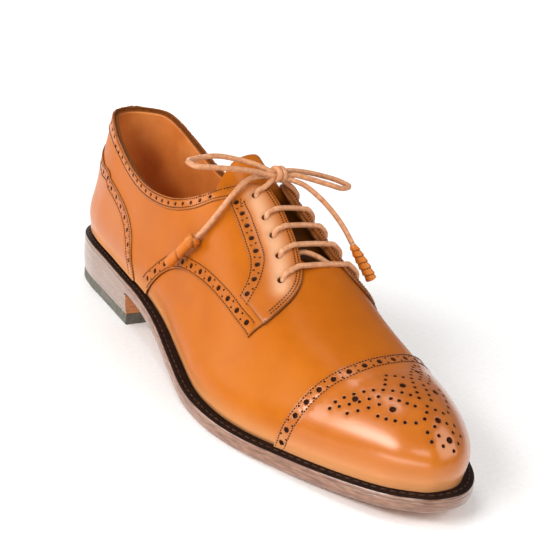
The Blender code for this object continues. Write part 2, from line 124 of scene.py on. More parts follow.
outlineAngles = [float(outlineAngle(row[0])) for row in last["outline"]]
innerWidth = smoothCurve(outlineAngles, [row[1] for row in last["outline"]])
outerWidth = smoothCurve(outlineAngles, [row[2] for row in last["outline"]])
crestHeight, spineOffset, sideFullness, topFullness = [tableColumn(last["form"], k) for k in (1, 2, 3, 4)]
toplineHeight = tableColumn(last["topline"], 1)
collarWidth = tableColumn(last["topline"], 2)
facingGap = tableColumn(last["facing"], 1)


def soleBottom(station):
    station = np.asarray(station, float)
    flatTo = last["flatTo"]
    breast = last["heelLength"]
    lift = np.clip((station - flatTo) / (last["length"] - flatTo), 0, 1)
    spring = last["toeSpring"] * lift ** last["springPower"]
    arch = np.clip((last["flatFrom"] - station) / (last["flatFrom"] - breast), 0, 1)
    waist = last["heelFront"] * (arch * arch * (3 - 2 * arch)) ** last["archPower"]
    return spring + waist + last["heelBack"] * np.clip((breast - station) / breast, 0, 1)


def weltTop(station):
    return soleBottom(station) + last["soleThick"] + last["seatGap"] + last["weltThick"]


def weltWidth(station):
    share = np.clip((station - last["weltFrom"]) / last["weltOver"], 0, 1)
    return last["weltWidth"] + last["weltGain"] * share


def edgePoint(side, angle):
    station = last["length"] / 2 * (1 - np.cos(angle))
    return np.stack([station, np.where(side > 0, innerWidth(angle), -outerWidth(angle))], -1)


def insetPoint(side, angle, distance):
    angle, distance = np.broadcast_arrays(np.asarray(angle, float), np.asarray(distance, float))
    step = 0.004
    before, after = [np.clip(angle + shift, 0, math.pi) for shift in (-step, step)]
    run = edgePoint(side, after) - edgePoint(side, before)
    ends = (angle < step) | (angle > math.pi - step)
    run = np.where(ends[..., None], np.stack([0 * angle, np.where(angle < 1, side, -side)], -1), run)
    run = unit(run)
    inward = np.stack([run[..., 1], -run[..., 0]], -1) * np.asarray(side)[..., None]
    return edgePoint(side, angle) + inward * distance[..., None]


def featherPoint(side, station, grow=0.0):
    # where the upper meets the welt
    return insetPoint(side, outlineAngle(station), weltWidth(station) - grow)


def lastSection(station):
    station = np.asarray(station, float)
    middle = np.clip(station, last["heelSpine"], last["toeSpine"])
    spine = np.stack([middle, spineOffset(middle)], -1)
    foot = weltTop(station) + last["seatGap"]
    return spine, foot, crestHeight(middle) - foot


def shares(station, climb):
    across = np.clip(np.cos(climb), 0, 1) ** (2 / sideFullness(station))
    up = np.clip(np.sin(climb), 0, 1) ** (2 / topFullness(station))
    return across, up


def lastPoint(side, station, climb, grow):
    side, station, climb = np.broadcast_arrays(np.asarray(side, float), np.asarray(station, float), climb)
    spine, foot, rise = lastSection(station)
    feather = featherPoint(side, station, grow)
    across, up = shares(station, climb)
    height = up * rise
    peak = np.exp(-((height - last["bulgeHeight"]) / last["bulgeSpread"]) ** 2)
    start = np.exp(-(last["bulgeHeight"] / last["bulgeSpread"]) ** 2 - height / last["bulgeHeight"])
    swell = across * (1 + last["bulge"] * (peak - start))
    plan = spine + swell[..., None] * (feather - spine)
    return np.concatenate([plan, (foot + up * (rise + grow))[..., None]], -1)


def climbToHeight(station, height):
    spine, foot, rise = lastSection(station)
    return np.arcsin(np.clip((height - foot) / rise, 0, 1) ** (topFullness(station) / 2))


def facingClimb(station, gap):
    station = np.asarray(station, float)
    spine, foot, rise = lastSection(station)
    feather = featherPoint(np.full(station.shape, outer), station)
    reach = np.linalg.norm(feather - spine, axis=-1)
    return np.arccos(np.clip(gap / reach, 0, 1) ** (sideFullness(station) / 2))


def rimClimb(station, lower):
    station = np.asarray(station, float)
    topline = climbToHeight(station, toplineHeight(station) - lower)
    facing = facingClimb(station, facingGap(station) + lower)
    return np.where(station < last["facing"][0][0], topline, facing)


# the pattern: the last laid flat, so that leather is cut and punched on a plane and then lasted
pattern = {"fanPoints": 300, "settleTurns": 8, "halvings": 34, "probe": 0.3, "lineStep": 1.2,
           "edgePoints": 4000}


def layFlat(side, station, climb):
    side, station, climb = np.broadcast_arrays(np.asarray(side, float), np.asarray(station, float), climb)
    spine, foot, rise = lastSection(station)
    feather = featherPoint(side, station)
    reach = np.linalg.norm(feather - spine, axis=-1)
    across, up = shares(station, climb)
    run = across * reach + (1 - up) * rise
    return spine + (feather - spine) * (run / reach)[..., None]


def fanTable(spineEnd, far):
    half = angleStations(pattern["fanPoints"], spineEnd, far)
    station = np.concatenate([half, half[-2::-1]])
    side = np.concatenate([np.full(len(half), outer), np.full(len(half) - 1, inner)])
    spine = lastSection(np.full(len(station), spineEnd))[0]
    way = featherPoint(side, station) - spine
    turn = np.arctan2(way[:, 1], way[:, 0] if far > spineEnd else -way[:, 0])
    return {"centre": spine[0], "turn": turn, "station": station}


toeFan = fanTable(last["toeSpine"], last["length"])
heelFan = fanTable(last["heelSpine"], 0.0)


def takeUp(flat):
    flat = np.asarray(flat, float)
    x, y = flat[..., 0], flat[..., 1]
    station = np.clip(x, last["heelSpine"], last["toeSpine"])
    side = np.where(y > spineOffset(station), inner, outer)
    for turn in range(pattern["settleTurns"]):
        spine = lastSection(station)[0]
        feather = featherPoint(side, station)
        share = (y - spine[..., 1]) / (feather[..., 1] - spine[..., 1])
        station = np.clip(x - share * (feather[..., 0] - station), last["heelSpine"], last["toeSpine"])
    for fan, sign in ((toeFan, 1), (heelFan, -1)):
        turn = np.arctan2(y - fan["centre"][1], sign * (x - fan["centre"][0]))
        inside = (turn > fan["turn"][0]) & (turn < fan["turn"][-1])
        place = np.interp(turn, fan["turn"], np.arange(len(fan["turn"])))
        middle = len(fan["turn"]) // 2
        station = np.where(inside, np.interp(turn, fan["turn"], fan["station"]), station)
        side = np.where(inside, np.where(place > middle, inner, outer), side)
    spine, foot, rise = lastSection(station)
    feather = featherPoint(side, station)
    reach = np.linalg.norm(feather - spine, axis=-1)
    wanted = np.linalg.norm(flat - spine, axis=-1)
    low = np.zeros(wanted.shape)
    high = np.full(wanted.shape, math.pi / 2)
    for turn in range(pattern["halvings"]):
        climb = (low + high) / 2
        across, up = shares(station, climb)
        far = across * reach + (1 - up) * rise > wanted
        low = np.where(far, climb, low)
        high = np.where(far, high, climb)
    return side, station, (low + high) / 2


def onLast(flat, grow):
    side, station, climb = takeUp(flat)
    return lastPoint(side, station, climb, grow)


def stretch(flat):
    # how the pattern's plane is stretched where it lies on the last
    flat = np.asarray(flat, float)
    step = pattern["probe"]
    along = (onLast(flat + (step, 0), 0) - onLast(flat - (step, 0), 0)) / (2 * step)
    aside = (onLast(flat + (0, step), 0) - onLast(flat - (0, step), 0)) / (2 * step)
    return along, aside


edgeLine = edgePoint(inner, np.linspace(0, math.pi, pattern["edgePoints"]))
frameOrigin = np.array([last["length"] / 2, edgeLine[:, 1].max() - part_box("outsole")[1].y / mm, 0.0])


def toFrame(points):
    return (np.asarray(points, float) - frameOrigin) * mm


def through(points, step):
    # even points on a smooth line through the given ones
    points = np.asarray(points, float)
    run = runLength(points)
    along = np.linspace(0, run[-1], max(2, int(run[-1] / step) + 1))
    return np.stack([smoothCurve(run, points[:, k])(along) for k in range(points.shape[1])], -1)


def heightLine(side, rows):
    station, height = np.array(rows, float).T
    return through(layFlat(side, station, climbToHeight(station, height)), pattern["lineStep"])


def gapLine(side, rows):
    station, gap = np.array(rows, float).T
    return through(layFlat(side, station, facingClimb(station, gap)), pattern["lineStep"])


def beside(line, distance):
    # a line at a distance on the leather, to the left of its run where positive
    left = leftOf(np.gradient(line, axis=0))
    along, aside = stretch(line)
    width = np.linalg.norm(left[:, :1] * along + left[:, 1:] * aside, axis=1)
    return line + left * (distance / width)[:, None]


def evenly(line, pitch, first=0.5, grow=0.0):
    # places a pitch apart on the leather
    solid = onLast(line, grow)
    run = runLength(solid)
    count = max(1, int(round(run[-1] / pitch)))
    places = (np.arange(count) + first) * run[-1] / count
    return np.stack([np.interp(places, run, line[:, k]) for k in (0, 1)], -1)


# shared mesh helpers
def makePiece(name, builder, materials):
    mesh = bpy.data.meshes.new(name)
    builder.to_mesh(mesh)
    builder.free()
    mesh.shade_smooth()
    piece = bpy.data.objects.new(name, mesh)
    bpy.context.scene.collection.objects.link(piece)
    for material in materials:
        mesh.materials.append(material)
    return piece


def addRing(builder, points):
    return [builder.verts.new(point) for point in toFrame(points)]


def joinRings(builder, rings, closed=False):
    # bands of quads between rings of corners, and a face over each end where closed
    bands = []
    for low, high in zip(rings, rings[1:]):
        pairs = [(k, (k + 1) % len(low)) for k in range(len(low))]
        bands.append([builder.faces.new([low[k], low[n], high[n], high[k]]) for k, n in pairs])
    if closed:
        builder.faces.new(rings[0][::-1])
        builder.faces.new(rings[-1])
    return bands


def around(count, across, up):
    # even directions round an axis
    angles = np.linspace(0, 2 * math.pi, count, endpoint=False)
    return np.cos(angles)[:, None] * across + np.sin(angles)[:, None] * up


def settle(piece, slotName, *replaced):
    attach(piece, "root")
    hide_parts(*replaced)
    return piece


def vertexSpots(piece):
    return np.array([tuple(vert.co) for vert in piece.data.vertices]) / mm + frameOrigin


def paint(piece, name, values):
    layer = piece.data.attributes.new(name, "FLOAT", "POINT")
    layer.data.foreach_set("value", values)


def paintPaleSheen(piece, away, strength, reach):
    # painted pale sheen, strongest where a vertex lies at no distance
    paint(piece, "waxed", strength * np.exp(-(np.maximum(away, 0) / reach) ** 2))


# painted reflection of the white floor: paler along the foot of the upper, next to the welt
def paintFloorReflectionAtWelt(piece):
    spots = vertexSpots(piece)
    paintPaleSheen(piece, spots[:, 2] - weltTop(spots[:, 0]), weltReflection["strength"], weltReflection["reach"])


def wallInward(piece, thickness, innerMaterial, rimMaterial):
    wall = piece.modifiers.new("leather thickness", "SOLIDIFY")
    wall.thickness = thickness * mm
    wall.offset = -1
    wall.material_offset = innerMaterial
    wall.material_offset_rim = rimMaterial


def sharpen(piece, degrees):
    piece.data.set_sharp_from_angle(angle=math.radians(degrees))


# distances in mm below which corners become one and slivers go
weld = {"corner": 0.02, "sliver": 0.005}


def gridPiece(name, columns, rows, place, materials, closed=False):
    # a plane of quads, each corner moved to its place on the piece
    builder = bmesh.new()
    bmesh.ops.create_grid(builder, x_segments=columns, y_segments=rows, size=0.5)
    flat = np.array([v.co for v in builder.verts])[:, :2] + 0.5
    for vert, point in zip(builder.verts, toFrame(place(flat[:, 0], flat[:, 1]))):
        vert.co = point
    if closed:
        bmesh.ops.remove_doubles(builder, verts=builder.verts, dist=weld["corner"] * mm)
        bmesh.ops.dissolve_degenerate(builder, edges=builder.edges, dist=weld["sliver"] * mm)
    return makePiece(name, builder, materials)


print("last and pattern ready")


# colours and materials
def hexColour(text):
    values = [int(text[i:i + 2], 16) / 255 for i in (1, 3, 5)]
    return [v / 12.92 if v <= 0.04045 else ((v + 0.055) / 1.055) ** 2.4 for v in values] + [1.0]


def addNode(material, kind, settings=None, **links):
    node = material.node_tree.nodes.new(kind)
    for key, value in (settings or {}).items():
        if key in node.inputs:
            node.inputs[key].default_value = value
        else:
            setattr(node, key, value)
    for key, source in links.items():
        target = node.inputs[int(key[1:])] if key[0] == "i" and key[1:].isdigit() else node.inputs[key]
        material.node_tree.links.new(source, target)
    return node


def newMaterial(name, **values):
    material = bpy.data.materials.new(name)
    material.use_nodes = True
    shader = material.node_tree.nodes["Principled BSDF"]
    for key, value in values.items():
        shader.inputs[key.replace("_", " ")].default_value = value
    coords = addNode(material, "ShaderNodeTexCoord").outputs["Object"]
    return material, shader, coords


def joinTo(material, source, shader, socket):
    material.node_tree.links.new(source, shader.inputs[socket])


def noise(material, coords, width, detail):
    # one cloud to each width in mm
    settings = {"Scale": 1000 / width, "Detail": detail}
    return addNode(material, "ShaderNodeTexNoise", settings, Vector=coords).outputs["Fac"]


def ramp(material, source, stops):
    node = addNode(material, "ShaderNodeValToRGB", {}, Fac=source)
    while len(node.color_ramp.elements) < len(stops):
        node.color_ramp.elements.new(0.5)
    for element, (place, colour) in zip(node.color_ramp.elements, stops):
        element.position = place
        element.color = hexColour(colour)
    return node.outputs["Color"]


def tint(material, shader, source, stops):
    joinTo(material, ramp(material, source, stops), shader, "Base Color")


def bumpFrom(material, shader, source, strength, height):
    bump = addNode(material, "ShaderNodeBump", {"Strength": strength, "Distance": height * mm}, Height=source)
    joinTo(material, bump.outputs["Normal"], shader, "Normal")


# grain: height in mm, fine creases as a share of the pores' width
grain = {"height": 0.06, "fine": 0.6}


def grainBump(material, coords, shader, width, strength):
    # pores and creases of the grain, one cell to each width in mm
    settings = {"feature": "SMOOTH_F1", "Scale": 1000 / width}
    cells = addNode(material, "ShaderNodeTexVoronoi", settings, Vector=coords).outputs["Distance"]
    fine = noise(material, coords, width * grain["fine"], 2.0)
    both = addNode(material, "ShaderNodeMath", {"operation": "ADD"}, i0=cells, i1=fine)
    bumpFrom(material, shader, both.outputs["Value"], strength, grain["height"])


# polished calf: smooth aniline leather, a clear even tan with cloudy depth and a wax gloss
calfLook = {
    # the waxed colour is a painted highlight and a painted reflection of the floor, not wax; the dark colour
    # after it is both the dye of burnished edges and painted shade in sewn grooves, at hole rims, in the
    # tassel wraps and on the tongue
    "tan": "#A9570A", "deep": "#A05005", "pale": "#B16010", "waxed": "#FFC088", "burnishAndShade": "#3E1A04",
    "sheenTint": "#FFBC70", "roughness": 0.36, "roughShift": 0.06, "coat": 0.3, "coatRoughness": 0.16,
    "shine": 0.4,
    # clouds, flecks and grain by their width in mm
    "cloud": 45.0, "fleck": 9.0, "fleckShare": 0.3, "grain": 0.9, "grainStrength": 0.07,
}


def makeCalf(name, look):
    material, shader, coords = newMaterial(
        name, Coat_Weight=look["coat"], Coat_Roughness=look["coatRoughness"], IOR=1.45,
        Specular_IOR_Level=look["shine"], Specular_Tint=hexColour(look["sheenTint"]))
    cloud = noise(material, coords, look["cloud"], 4.0)
    fleck = noise(material, coords, look["fleck"], 3.0)
    settings = {"data_type": "FLOAT", "Factor": look["fleckShare"]}
    tone = addNode(material, "ShaderNodeMix", settings, i2=cloud, i3=fleck).outputs["Result"]
    colour = ramp(material, tone, [(0.3, look["deep"]), (0.5, look["tan"]), (0.72, look["pale"])])
    # mix in the two painted layers: the pale painted highlight and floor reflection, then the dark of
    # burnished edges together with painted shade
    for layer in ("waxed", "burnishAndShade"):
        amount = addNode(material, "ShaderNodeAttribute", {"attribute_name": layer}).outputs["Fac"]
        mixed = addNode(material, "ShaderNodeMix", {"data_type": "RGBA"}, i0=amount, i6=colour)
        mixed.inputs[7].default_value = hexColour(look[layer])
        colour = mixed.outputs[2]
    joinTo(material, colour, shader, "Base Color")
    low, high = look["roughness"] - look["roughShift"], look["roughness"] + look["roughShift"]
    settings = {"From Min": 0.3, "From Max": 0.7, "To Min": low, "To Max": high}
    rough = addNode(material, "ShaderNodeMapRange", settings, Value=fleck)
    joinTo(material, rough.outputs["Result"], shader, "Roughness")
    grainBump(material, coords, shader, look["grain"], look["grainStrength"])
    return material


# plain fibre: cut edges, the painted shade in the holes and linen thread, dull with a fine mottle
def makeFibre(name, dark, light, roughness):
    material, shader, coords = newMaterial(name, Roughness=roughness, IOR=1.5, Specular_IOR_Level=0.15)
    tint(material, shader, noise(material, coords, 0.8, 2.0), [(0.3, dark), (0.7, light)])
    return material


# vegetable tanned lining: soft, matt, orange tan, with a visible grain
def makeLining():
    material, shader, coords = newMaterial("vegetable tanned lining leather", Roughness=0.58, IOR=1.48)
    cloud = noise(material, coords, 22, 5.0)
    tint(material, shader, cloud, [(0.3, "#B8611F"), (0.52, "#C9742F"), (0.75, "#D68A47")])
    grainBump(material, coords, shader, 1.4, 0.3)
    return material


# waxed sole edge: pressed fibre of bark tanned leather, stained brown and ironed to a shine
def makeSoleEdge(name, dark, light, roughness, coat=0.8, shine=0.5, bumps=0.1):
    material, shader, coords = newMaterial(
        name, Roughness=roughness, Coat_Weight=coat, Coat_Roughness=0.15, IOR=1.5, Specular_IOR_Level=shine)
    flatten = addNode(material, "ShaderNodeMapping", {"Scale": (1, 1, 6)}, Vector=coords)
    fibre = noise(material, flatten.outputs["Vector"], 6, 5.0)
    tint(material, shader, fibre, [(0.32, dark), (0.7, light)])
    bumpFrom(material, shader, fibre, bumps, 0.1)
    return material


# waxed round lace: tightly braided cotton, fine strands along the cord
def makeLace():
    material, shader, coords = newMaterial(
        "waxed braided cotton cord", Roughness=0.5, IOR=1.5, Sheen_Weight=0.1)
    fibre = noise(material, coords, 2.2, 3.0)
    tint(material, shader, fibre, [(0.3, "#AC6E44"), (0.52, "#BE8358"), (0.75, "#CD9870")])
    strand = addNode(material, "ShaderNodeTexVoronoi", {"Scale": 1000 / 0.6}, Vector=coords)
    bumpFrom(material, shader, strand.outputs["Distance"], 0.3, 0.1)
    return material


# moulded heel rubber: dark grey, matt, faintly pebbled
def makeRubber():
    material, shader, coords = newMaterial("moulded heel rubber", Roughness=0.72, IOR=1.5)
    tint(material, shader, noise(material, coords, 2.5, 4.0), [(0.3, "#4A473F"), (0.7, "#6B675D")])
    grainBump(material, coords, shader, 0.8, 0.25)
    return material


calf = makeCalf("polished tan calf", calfLook)
capCalf = makeCalf("high shined tan calf", dict(calfLook, coat=0.85, coatRoughness=0.24))
vampCalf = makeCalf("brushed tan calf", dict(calfLook, roughness=0.44, coat=0.08, coatRoughness=0.25,
                                             shine=0.35))
# eyestay calf; its waxed colour is the painted highlight along the eyelets
stayCalf = makeCalf("tan calf with a painted highlight", dict(calfLook, waxed="#D8AC84", roughness=0.42, coat=0.5,
                                                coatRoughness=0.3))
# tongue calf; its dark colour is the painted shade that the facings cast into the throat
tongueCalf = makeCalf("dull tan calf", dict(calfLook, burnishAndShade="#1E0B02", coat=0.1, shine=0.3))
tasselCalf = makeCalf("rolled tan calf", dict(calfLook, tan="#BE6A24", deep="#B25E1A", pale="#C87836",
                                              coat=0.2))
cutEdge = makeFibre("dyed cut leather edge", "#42200B", "#663612", 0.7)
foldedEdge = makeFibre("dyed folded edge", "#6A3511", "#8C501F", 0.55)
# near-black painted shade for the bottom of the punched holes
holeShadeLeather = makeFibre("painted shade in the punched holes", "#260E05", "#381909", 0.85)
lining = makeLining()
weltLeather = makeSoleEdge("black stained welt leather", "#170A05", "#26130B", 0.65, 0.0, 0.1)
soleEdge = makeSoleEdge("waxed brown sole edge", "#664231", "#956C55", 0.28)
heelEdge = makeSoleEdge("waxed dark heel leather", "#7E604F", "#836453", 0.25, bumps=0.02)
breastLeather = makeSoleEdge("natural heel breast leather", "#A8653A", "#C8834F", 0.45, 0.2)
soleFace = makeSoleEdge("bark tanned sole leather", "#A56A44", "#C08458", 0.5, 0.2)
laceCord = makeLace()
thread = makeFibre("waxed brown linen thread", "#2C1306", "#542B0F", 0.6)
weltThread = makeFibre("waxed dark sole thread", "#241610", "#4A352B", 0.6)
rubber = makeRubber()
print("materials ready")

# camera at the photo's angle: the target and the distance in the last's mm, the frame in pixels
view = {"azimuth": 53.74, "elevation": 20.91, "roll": 8.51, "distance": 549.04, "target": (150.0, 0.0, 40.0),
        "focal": 1112.14, "targetPixel": (251.91, 292.81), "frame": 550.0, "sensor": 36.0, "clip": (0.01, 50)}


def makeCamera():
    turn, lift, roll = [math.radians(view[key]) for key in ("azimuth", "elevation", "roll")]
    back = Vector((math.sin(turn) * math.cos(lift), -math.cos(turn) * math.cos(lift), math.sin(lift)))
    right = Vector((math.cos(turn), math.sin(turn), 0))
    up = back.cross(right)
    rightRolled = right * math.cos(roll) + up * math.sin(roll)
    upRolled = up * math.cos(roll) - right * math.sin(roll)
    data = bpy.data.cameras.new("photo camera")
    data.sensor_width = view["sensor"]
    data.lens = view["focal"] / view["frame"] * view["sensor"]
    data.shift_x = (view["frame"] / 2 - view["targetPixel"][0]) / view["frame"]
    data.shift_y = (view["targetPixel"][1] - view["frame"] / 2) / view["frame"]
    data.clip_start, data.clip_end = view["clip"]
    camera = bpy.data.objects.new("photo camera", data)
    bpy.context.scene.collection.objects.link(camera)
    place = Vector(toFrame(view["target"])) + back * view["distance"] * mm
    axes = Matrix((rightRolled, upRolled, back)).transposed().to_4x4()
    camera.matrix_world = Matrix.Translation(place) @ axes
    bpy.context.scene.camera = camera


makeCamera()

# studio: white sweep, long softboxes in front and above, a low one on the left, weak ones behind
studio = {"floorSize": 8.0, "world": 0.285,
          # place, aim, width, height, watts, spread in degrees; the last one lights the far floor
          "lights": [((0.2, -1.08, 0.8), (0.12, 0, 0.03), 0.66, 0.32, 12, 180),
                     ((-0.2, -0.3, 1.46), (0.02, 0, 0.06), 0.36, 0.32, 2.6, 180),
                     ((0.94, -0.67, 0.8), (0.14, 0, 0.03), 0.2, 0.2, 1.4, 180),
                     ((-0.75, -1.1, 0.5), (0, 0, 0.05), 0.9, 0.6, 8, 180),
                     ((0.75, -1.0, 0.14), (0.12, 0, 0.02), 1.0, 0.22, 5, 180),
                     ((-1.3, 0.5, 0.35), (-0.1, 0, 0.05), 0.5, 0.6, 6, 180),
                     ((1.2, 0.9, 1.1), (0.1, 0.1, 0), 1.2, 1.2, 16, 180),
                     ((-1.9, 1.35, 2.0), (-1.9, 1.35, 0), 2.4, 2.4, 28, 60)]}


def makeStudio():
    builder = bmesh.new()
    bmesh.ops.create_grid(builder, x_segments=2, y_segments=2, size=studio["floorSize"] / 2)
    paper, shader, coords = newMaterial("matt white paper sweep", Roughness=0.9, IOR=1.45)
    tint(paper, shader, noise(paper, coords, 2.5, 2.0), [(0.3, "#F6F5F3"), (0.7, "#FCFBFA")])
    floor = makePiece("floor", builder, [paper])
    world = bpy.data.worlds.new("white studio")
    world.use_nodes = True
    sky = world.node_tree.nodes["Background"].inputs
    sky["Color"].default_value = (1, 1, 1, 1)
    sky["Strength"].default_value = studio["world"]
    bpy.context.scene.world = world
    for number, (place, aim, width, height, watts, spread) in enumerate(studio["lights"]):
        data = bpy.data.lights.new("softbox %d" % number, "AREA")
        data.shape = "RECTANGLE"
        data.size = width
        data.size_y = height
        data.energy = watts
        data.spread = math.radians(spread)
        lamp = bpy.data.objects.new("softbox %d" % number, data)
        lamp.location = place
        lamp.rotation_euler = (Vector(aim) - Vector(place)).to_track_quat("-Z", "Y").to_euler()
        bpy.context.scene.collection.objects.link(lamp)
    bpy.context.scene.view_settings.view_transform = "Standard"


makeStudio()
print("camera and studio ready")

# lace: routes of the source in mm, the bow's loops and the two ends
lace = {
    "diameter": 2.6, "step": 0.9, "cordStep": 2.0, "bevel": 4,
    "loopOuter": [
        (150.6, -0.7, 102.7), (147, -7.1, 105.1), (143, -13.2, 106.1), (140, -25.5, 107.5),
        (140, -35.1, 106.5), (143, -41.6, 105.9), (147, -40.7, 105.4), (150, -32.3, 105.1),
        (151.5, -18.3, 104.2), (151, -5, 102)],
    "loopInner": [
        (151, 9.6, 102.8), (151.5, 20.1, 101.7), (153.5, 28.9, 100.2), (157, 37.7, 98.1), (161, 40.5, 96.9),
        (163.5, 35.5, 96.6), (162, 26.5, 98.6), (158.5, 18.4, 100.4), (154.6, 11.4, 101.6)],
    "endOuter": [
        (149.2, -2.5, 99.8), (148.6, -8.2, 99), (148.6, -14, 96), (149.4, -19.3, 90.9), (149.2, -23.9, 85),
        (147.8, -27.5, 78.5), (145.9, -30.6, 72.8)],
    "endInner": [
        (155.5, 8.5, 99.6), (158.5, 14, 98), (163, 19.7, 94), (168.6, 25.4, 88), (175, 30.9, 79.7),
        (180, 32.3, 74.7)],
    "tipOuter": [(144.9, -33.6, 69.2), (142, -36.1, 64.9), (137, -37.6, 58.1), (131.9, -38.8, 52)],
    "tipInner": [(180.5, 32.5, 74), (183.2, 34.7, 69.6), (187, 37.9, 63.6), (190, 40.3, 58.9)],
    # share of the length, radius
    "tasselOuter": {"turns": 2.5, "ridge": 0.35, "neck": 0.16, "profile": [
        (0, 1.25), (0.155, 1.25), (0.165, 2.4), (0.185, 3.2), (0.3, 3.35), (0.325, 3.2), (0.34, 2.5),
        (0.6, 2.45), (0.95, 2.65), (0.985, 2.5), (1, 1.6)]},
    "tasselInner": {"turns": 6, "ridge": 0.7, "neck": 0.05, "profile": [
        (0, 1.25), (0.045, 1.25), (0.06, 1.6), (0.25, 2.2), (0.5, 2.5), (0.95, 2.55), (0.985, 2.4),
        (1, 1.6)]},
}


def cordCurve(name, routes, closedFrom=None):
    data = bpy.data.curves.new(name, "CURVE")
    data.dimensions = "3D"
    data.bevel_depth = lace["diameter"] / 2 * mm
    data.bevel_resolution = lace["bevel"]
    data.use_fill_caps = True
    for number, route in enumerate(routes):
        line = data.splines.new("POLY")
        line.points.add(len(route) - 1)
        for target, point in zip(line.points, toFrame(route)):
            target.co = (*point, 1)
        line.use_cyclic_u = closedFrom is not None and number >= closedFrom
    piece = bpy.data.objects.new(name, data)
    bpy.context.scene.collection.objects.link(piece)
    data.materials.append(laceCord)
    return piece


def lengthOf(route):
    return float(np.linalg.norm(np.diff(route, axis=0), axis=1).sum()) * mm


# tassels: slices along the strip, corners round it, and how its free edge curls, with painted shade in the
# groove under that edge
tassel = {"slices": 110, "corners": 24, "curl": 0.7, "edgeFade": 5, "edgeDark": 0.8, "crease": 50}


def makeTassel(name, node, route, look):
    # a leather strip rolled round the end of the cord; the cord runs in at the top
    route = np.array(route, float)
    centre = through(route, lengthOf(route) / mm / tassel["slices"])
    run = unit(np.gradient(centre, axis=0))
    flatWay = unit(np.cross(run, (0, 0, 1.0)))
    upWay = np.cross(flatWay, run)
    angles = np.linspace(0, 2 * math.pi, tassel["corners"], endpoint=False)
    share = np.linspace(0, 1, len(centre))
    size = np.interp(share, *np.array(look["profile"]).T)
    builder = bmesh.new()
    burnishAndShade = builder.verts.layers.float.new("burnishAndShade")
    rings = []
    for i, s in enumerate(share):
        turn = (s * look["turns"] - angles / (2 * math.pi)) % 1.0
        onStrip = 1.0 if s > look["neck"] else 0.0
        radius = size[i] + onStrip * look["ridge"] * (turn ** tassel["curl"] - 0.5)
        ring = addRing(builder, centre[i] + radius[:, None] * around(tassel["corners"], flatWay[i], upWay[i]))
        # painted shade, darkest in the groove just under the strip's free edge
        for vert, value in zip(ring, turn):
            vert[burnishAndShade] = onStrip * max(0.0, 1 - value * tassel["edgeFade"]) * tassel["edgeDark"]
        rings.append(ring)
    for s, band in zip(share, joinRings(builder, rings, True)):
        for face in band:
            face.material_index = 0 if s >= look["neck"] else 1
    bmesh.ops.recalc_face_normals(builder, faces=builder.faces)
    piece = makePiece(name, builder, [tasselCalf, laceCord])
    sharpen(piece, tassel["crease"])
    return settle(piece, "tassel", node)


def makeCords():
    outerRoute = lace["endOuter"][-1:] + lace["tipOuter"]
    innerRoute = lace["endInner"][-1:] + lace["tipInner"]
    tips = [makeTassel("laceTipOuter", "lace_tip_outer", outerRoute, lace["tasselOuter"]),
            makeTassel("laceTipInner", "lace_tip_inner", innerRoute, lace["tasselInner"])]
    for name, key, node, far, with_ in (
            ("laceLoopOuter", "loopOuter", "lace_loop_outer", "knot", []),
            ("laceLoopInner", "loopInner", "lace_loop_inner", "knot", []),
            ("laceEndOuter", "endOuter", "lace_end_outer", "fitting", tips[:1]),
            ("laceEndInner", "endInner", "lace_end_inner", "fitting", tips[1:])):
        route = through(lace[key], lace["cordStep"])
        piece = settle(cordCurve(name, [route]), "lace", node)
        tuple(toFrame(route[0]))


makeCords()
print("cords ready")

# faint creases over the ball and behind the tabs: shallow troughs, the shoe is new
creases = [
    # side, station at the crest, shift towards the sole, half width, depth, middle climb, reach in climb
    (outer, 214, -8, 4.0, 0.2, 0.95, 0.32), (outer, 222, -7, 4.6, 0.16, 1.1, 0.3),
    (outer, 229, -6, 4.2, 0.1, 1.2, 0.25),
    (inner, 217, 3, 4.2, 0.2, 0.9, 0.35), (inner, 225, 2, 4.8, 0.15, 1.05, 0.3),
    (outer, 112, 6, 5.0, 0.18, 0.6, 0.3), (inner, 114, 6, 5.0, 0.18, 0.6, 0.3)]


def relief(side, station, climb):
    side, station, climb = np.broadcast_arrays(side, station, climb)
    height = np.zeros(station.shape)
    for where, crest, shift, width, depth, middle, reach in creases:
        line = crest + shift * (1 - climb / (math.pi / 2))
        trough = np.exp(-((station - line) / width) ** 2 - ((climb - middle) / reach) ** 2)
        height = height - np.where(side * where > 0, depth * trough, 0)
    return height


# the upper: one lasted shell, calf outside and lining inside, open at the collar and the throat
upperLook = {"rows": 40, "wall": 1.9, "throatEnd": 196.0, "closing": 7.0, "rimLower": 0.9, "tuck": 0.9,
             "heelCount": 28, "toeCount": 40, "step": 2.0, "fineFrom": 188.0, "fineStep": 0.5}
# strength and reach in mm of the painted floor reflection along the welt
weltReflection = {"strength": 0.45, "reach": 6.5}


def heelStations(end, count=36, step=1.5):
    # close together round the heel, then even
    spine = last["heelSpine"]
    return np.concatenate([angleStations(count, 0, spine)[:-1], np.arange(spine, end, step)])


def upperTop(station):
    top = rimClimb(station, upperLook["rimLower"])
    closing = np.sqrt(np.clip((upperLook["throatEnd"] - station) / upperLook["closing"], 0, 1))
    narrow = facingClimb(station, (facingGap(station) + upperLook["rimLower"]) * closing)
    top = np.where(station > upperLook["throatEnd"] - upperLook["closing"], narrow, top)
    return np.where(station >= upperLook["throatEnd"], math.pi / 2, top)


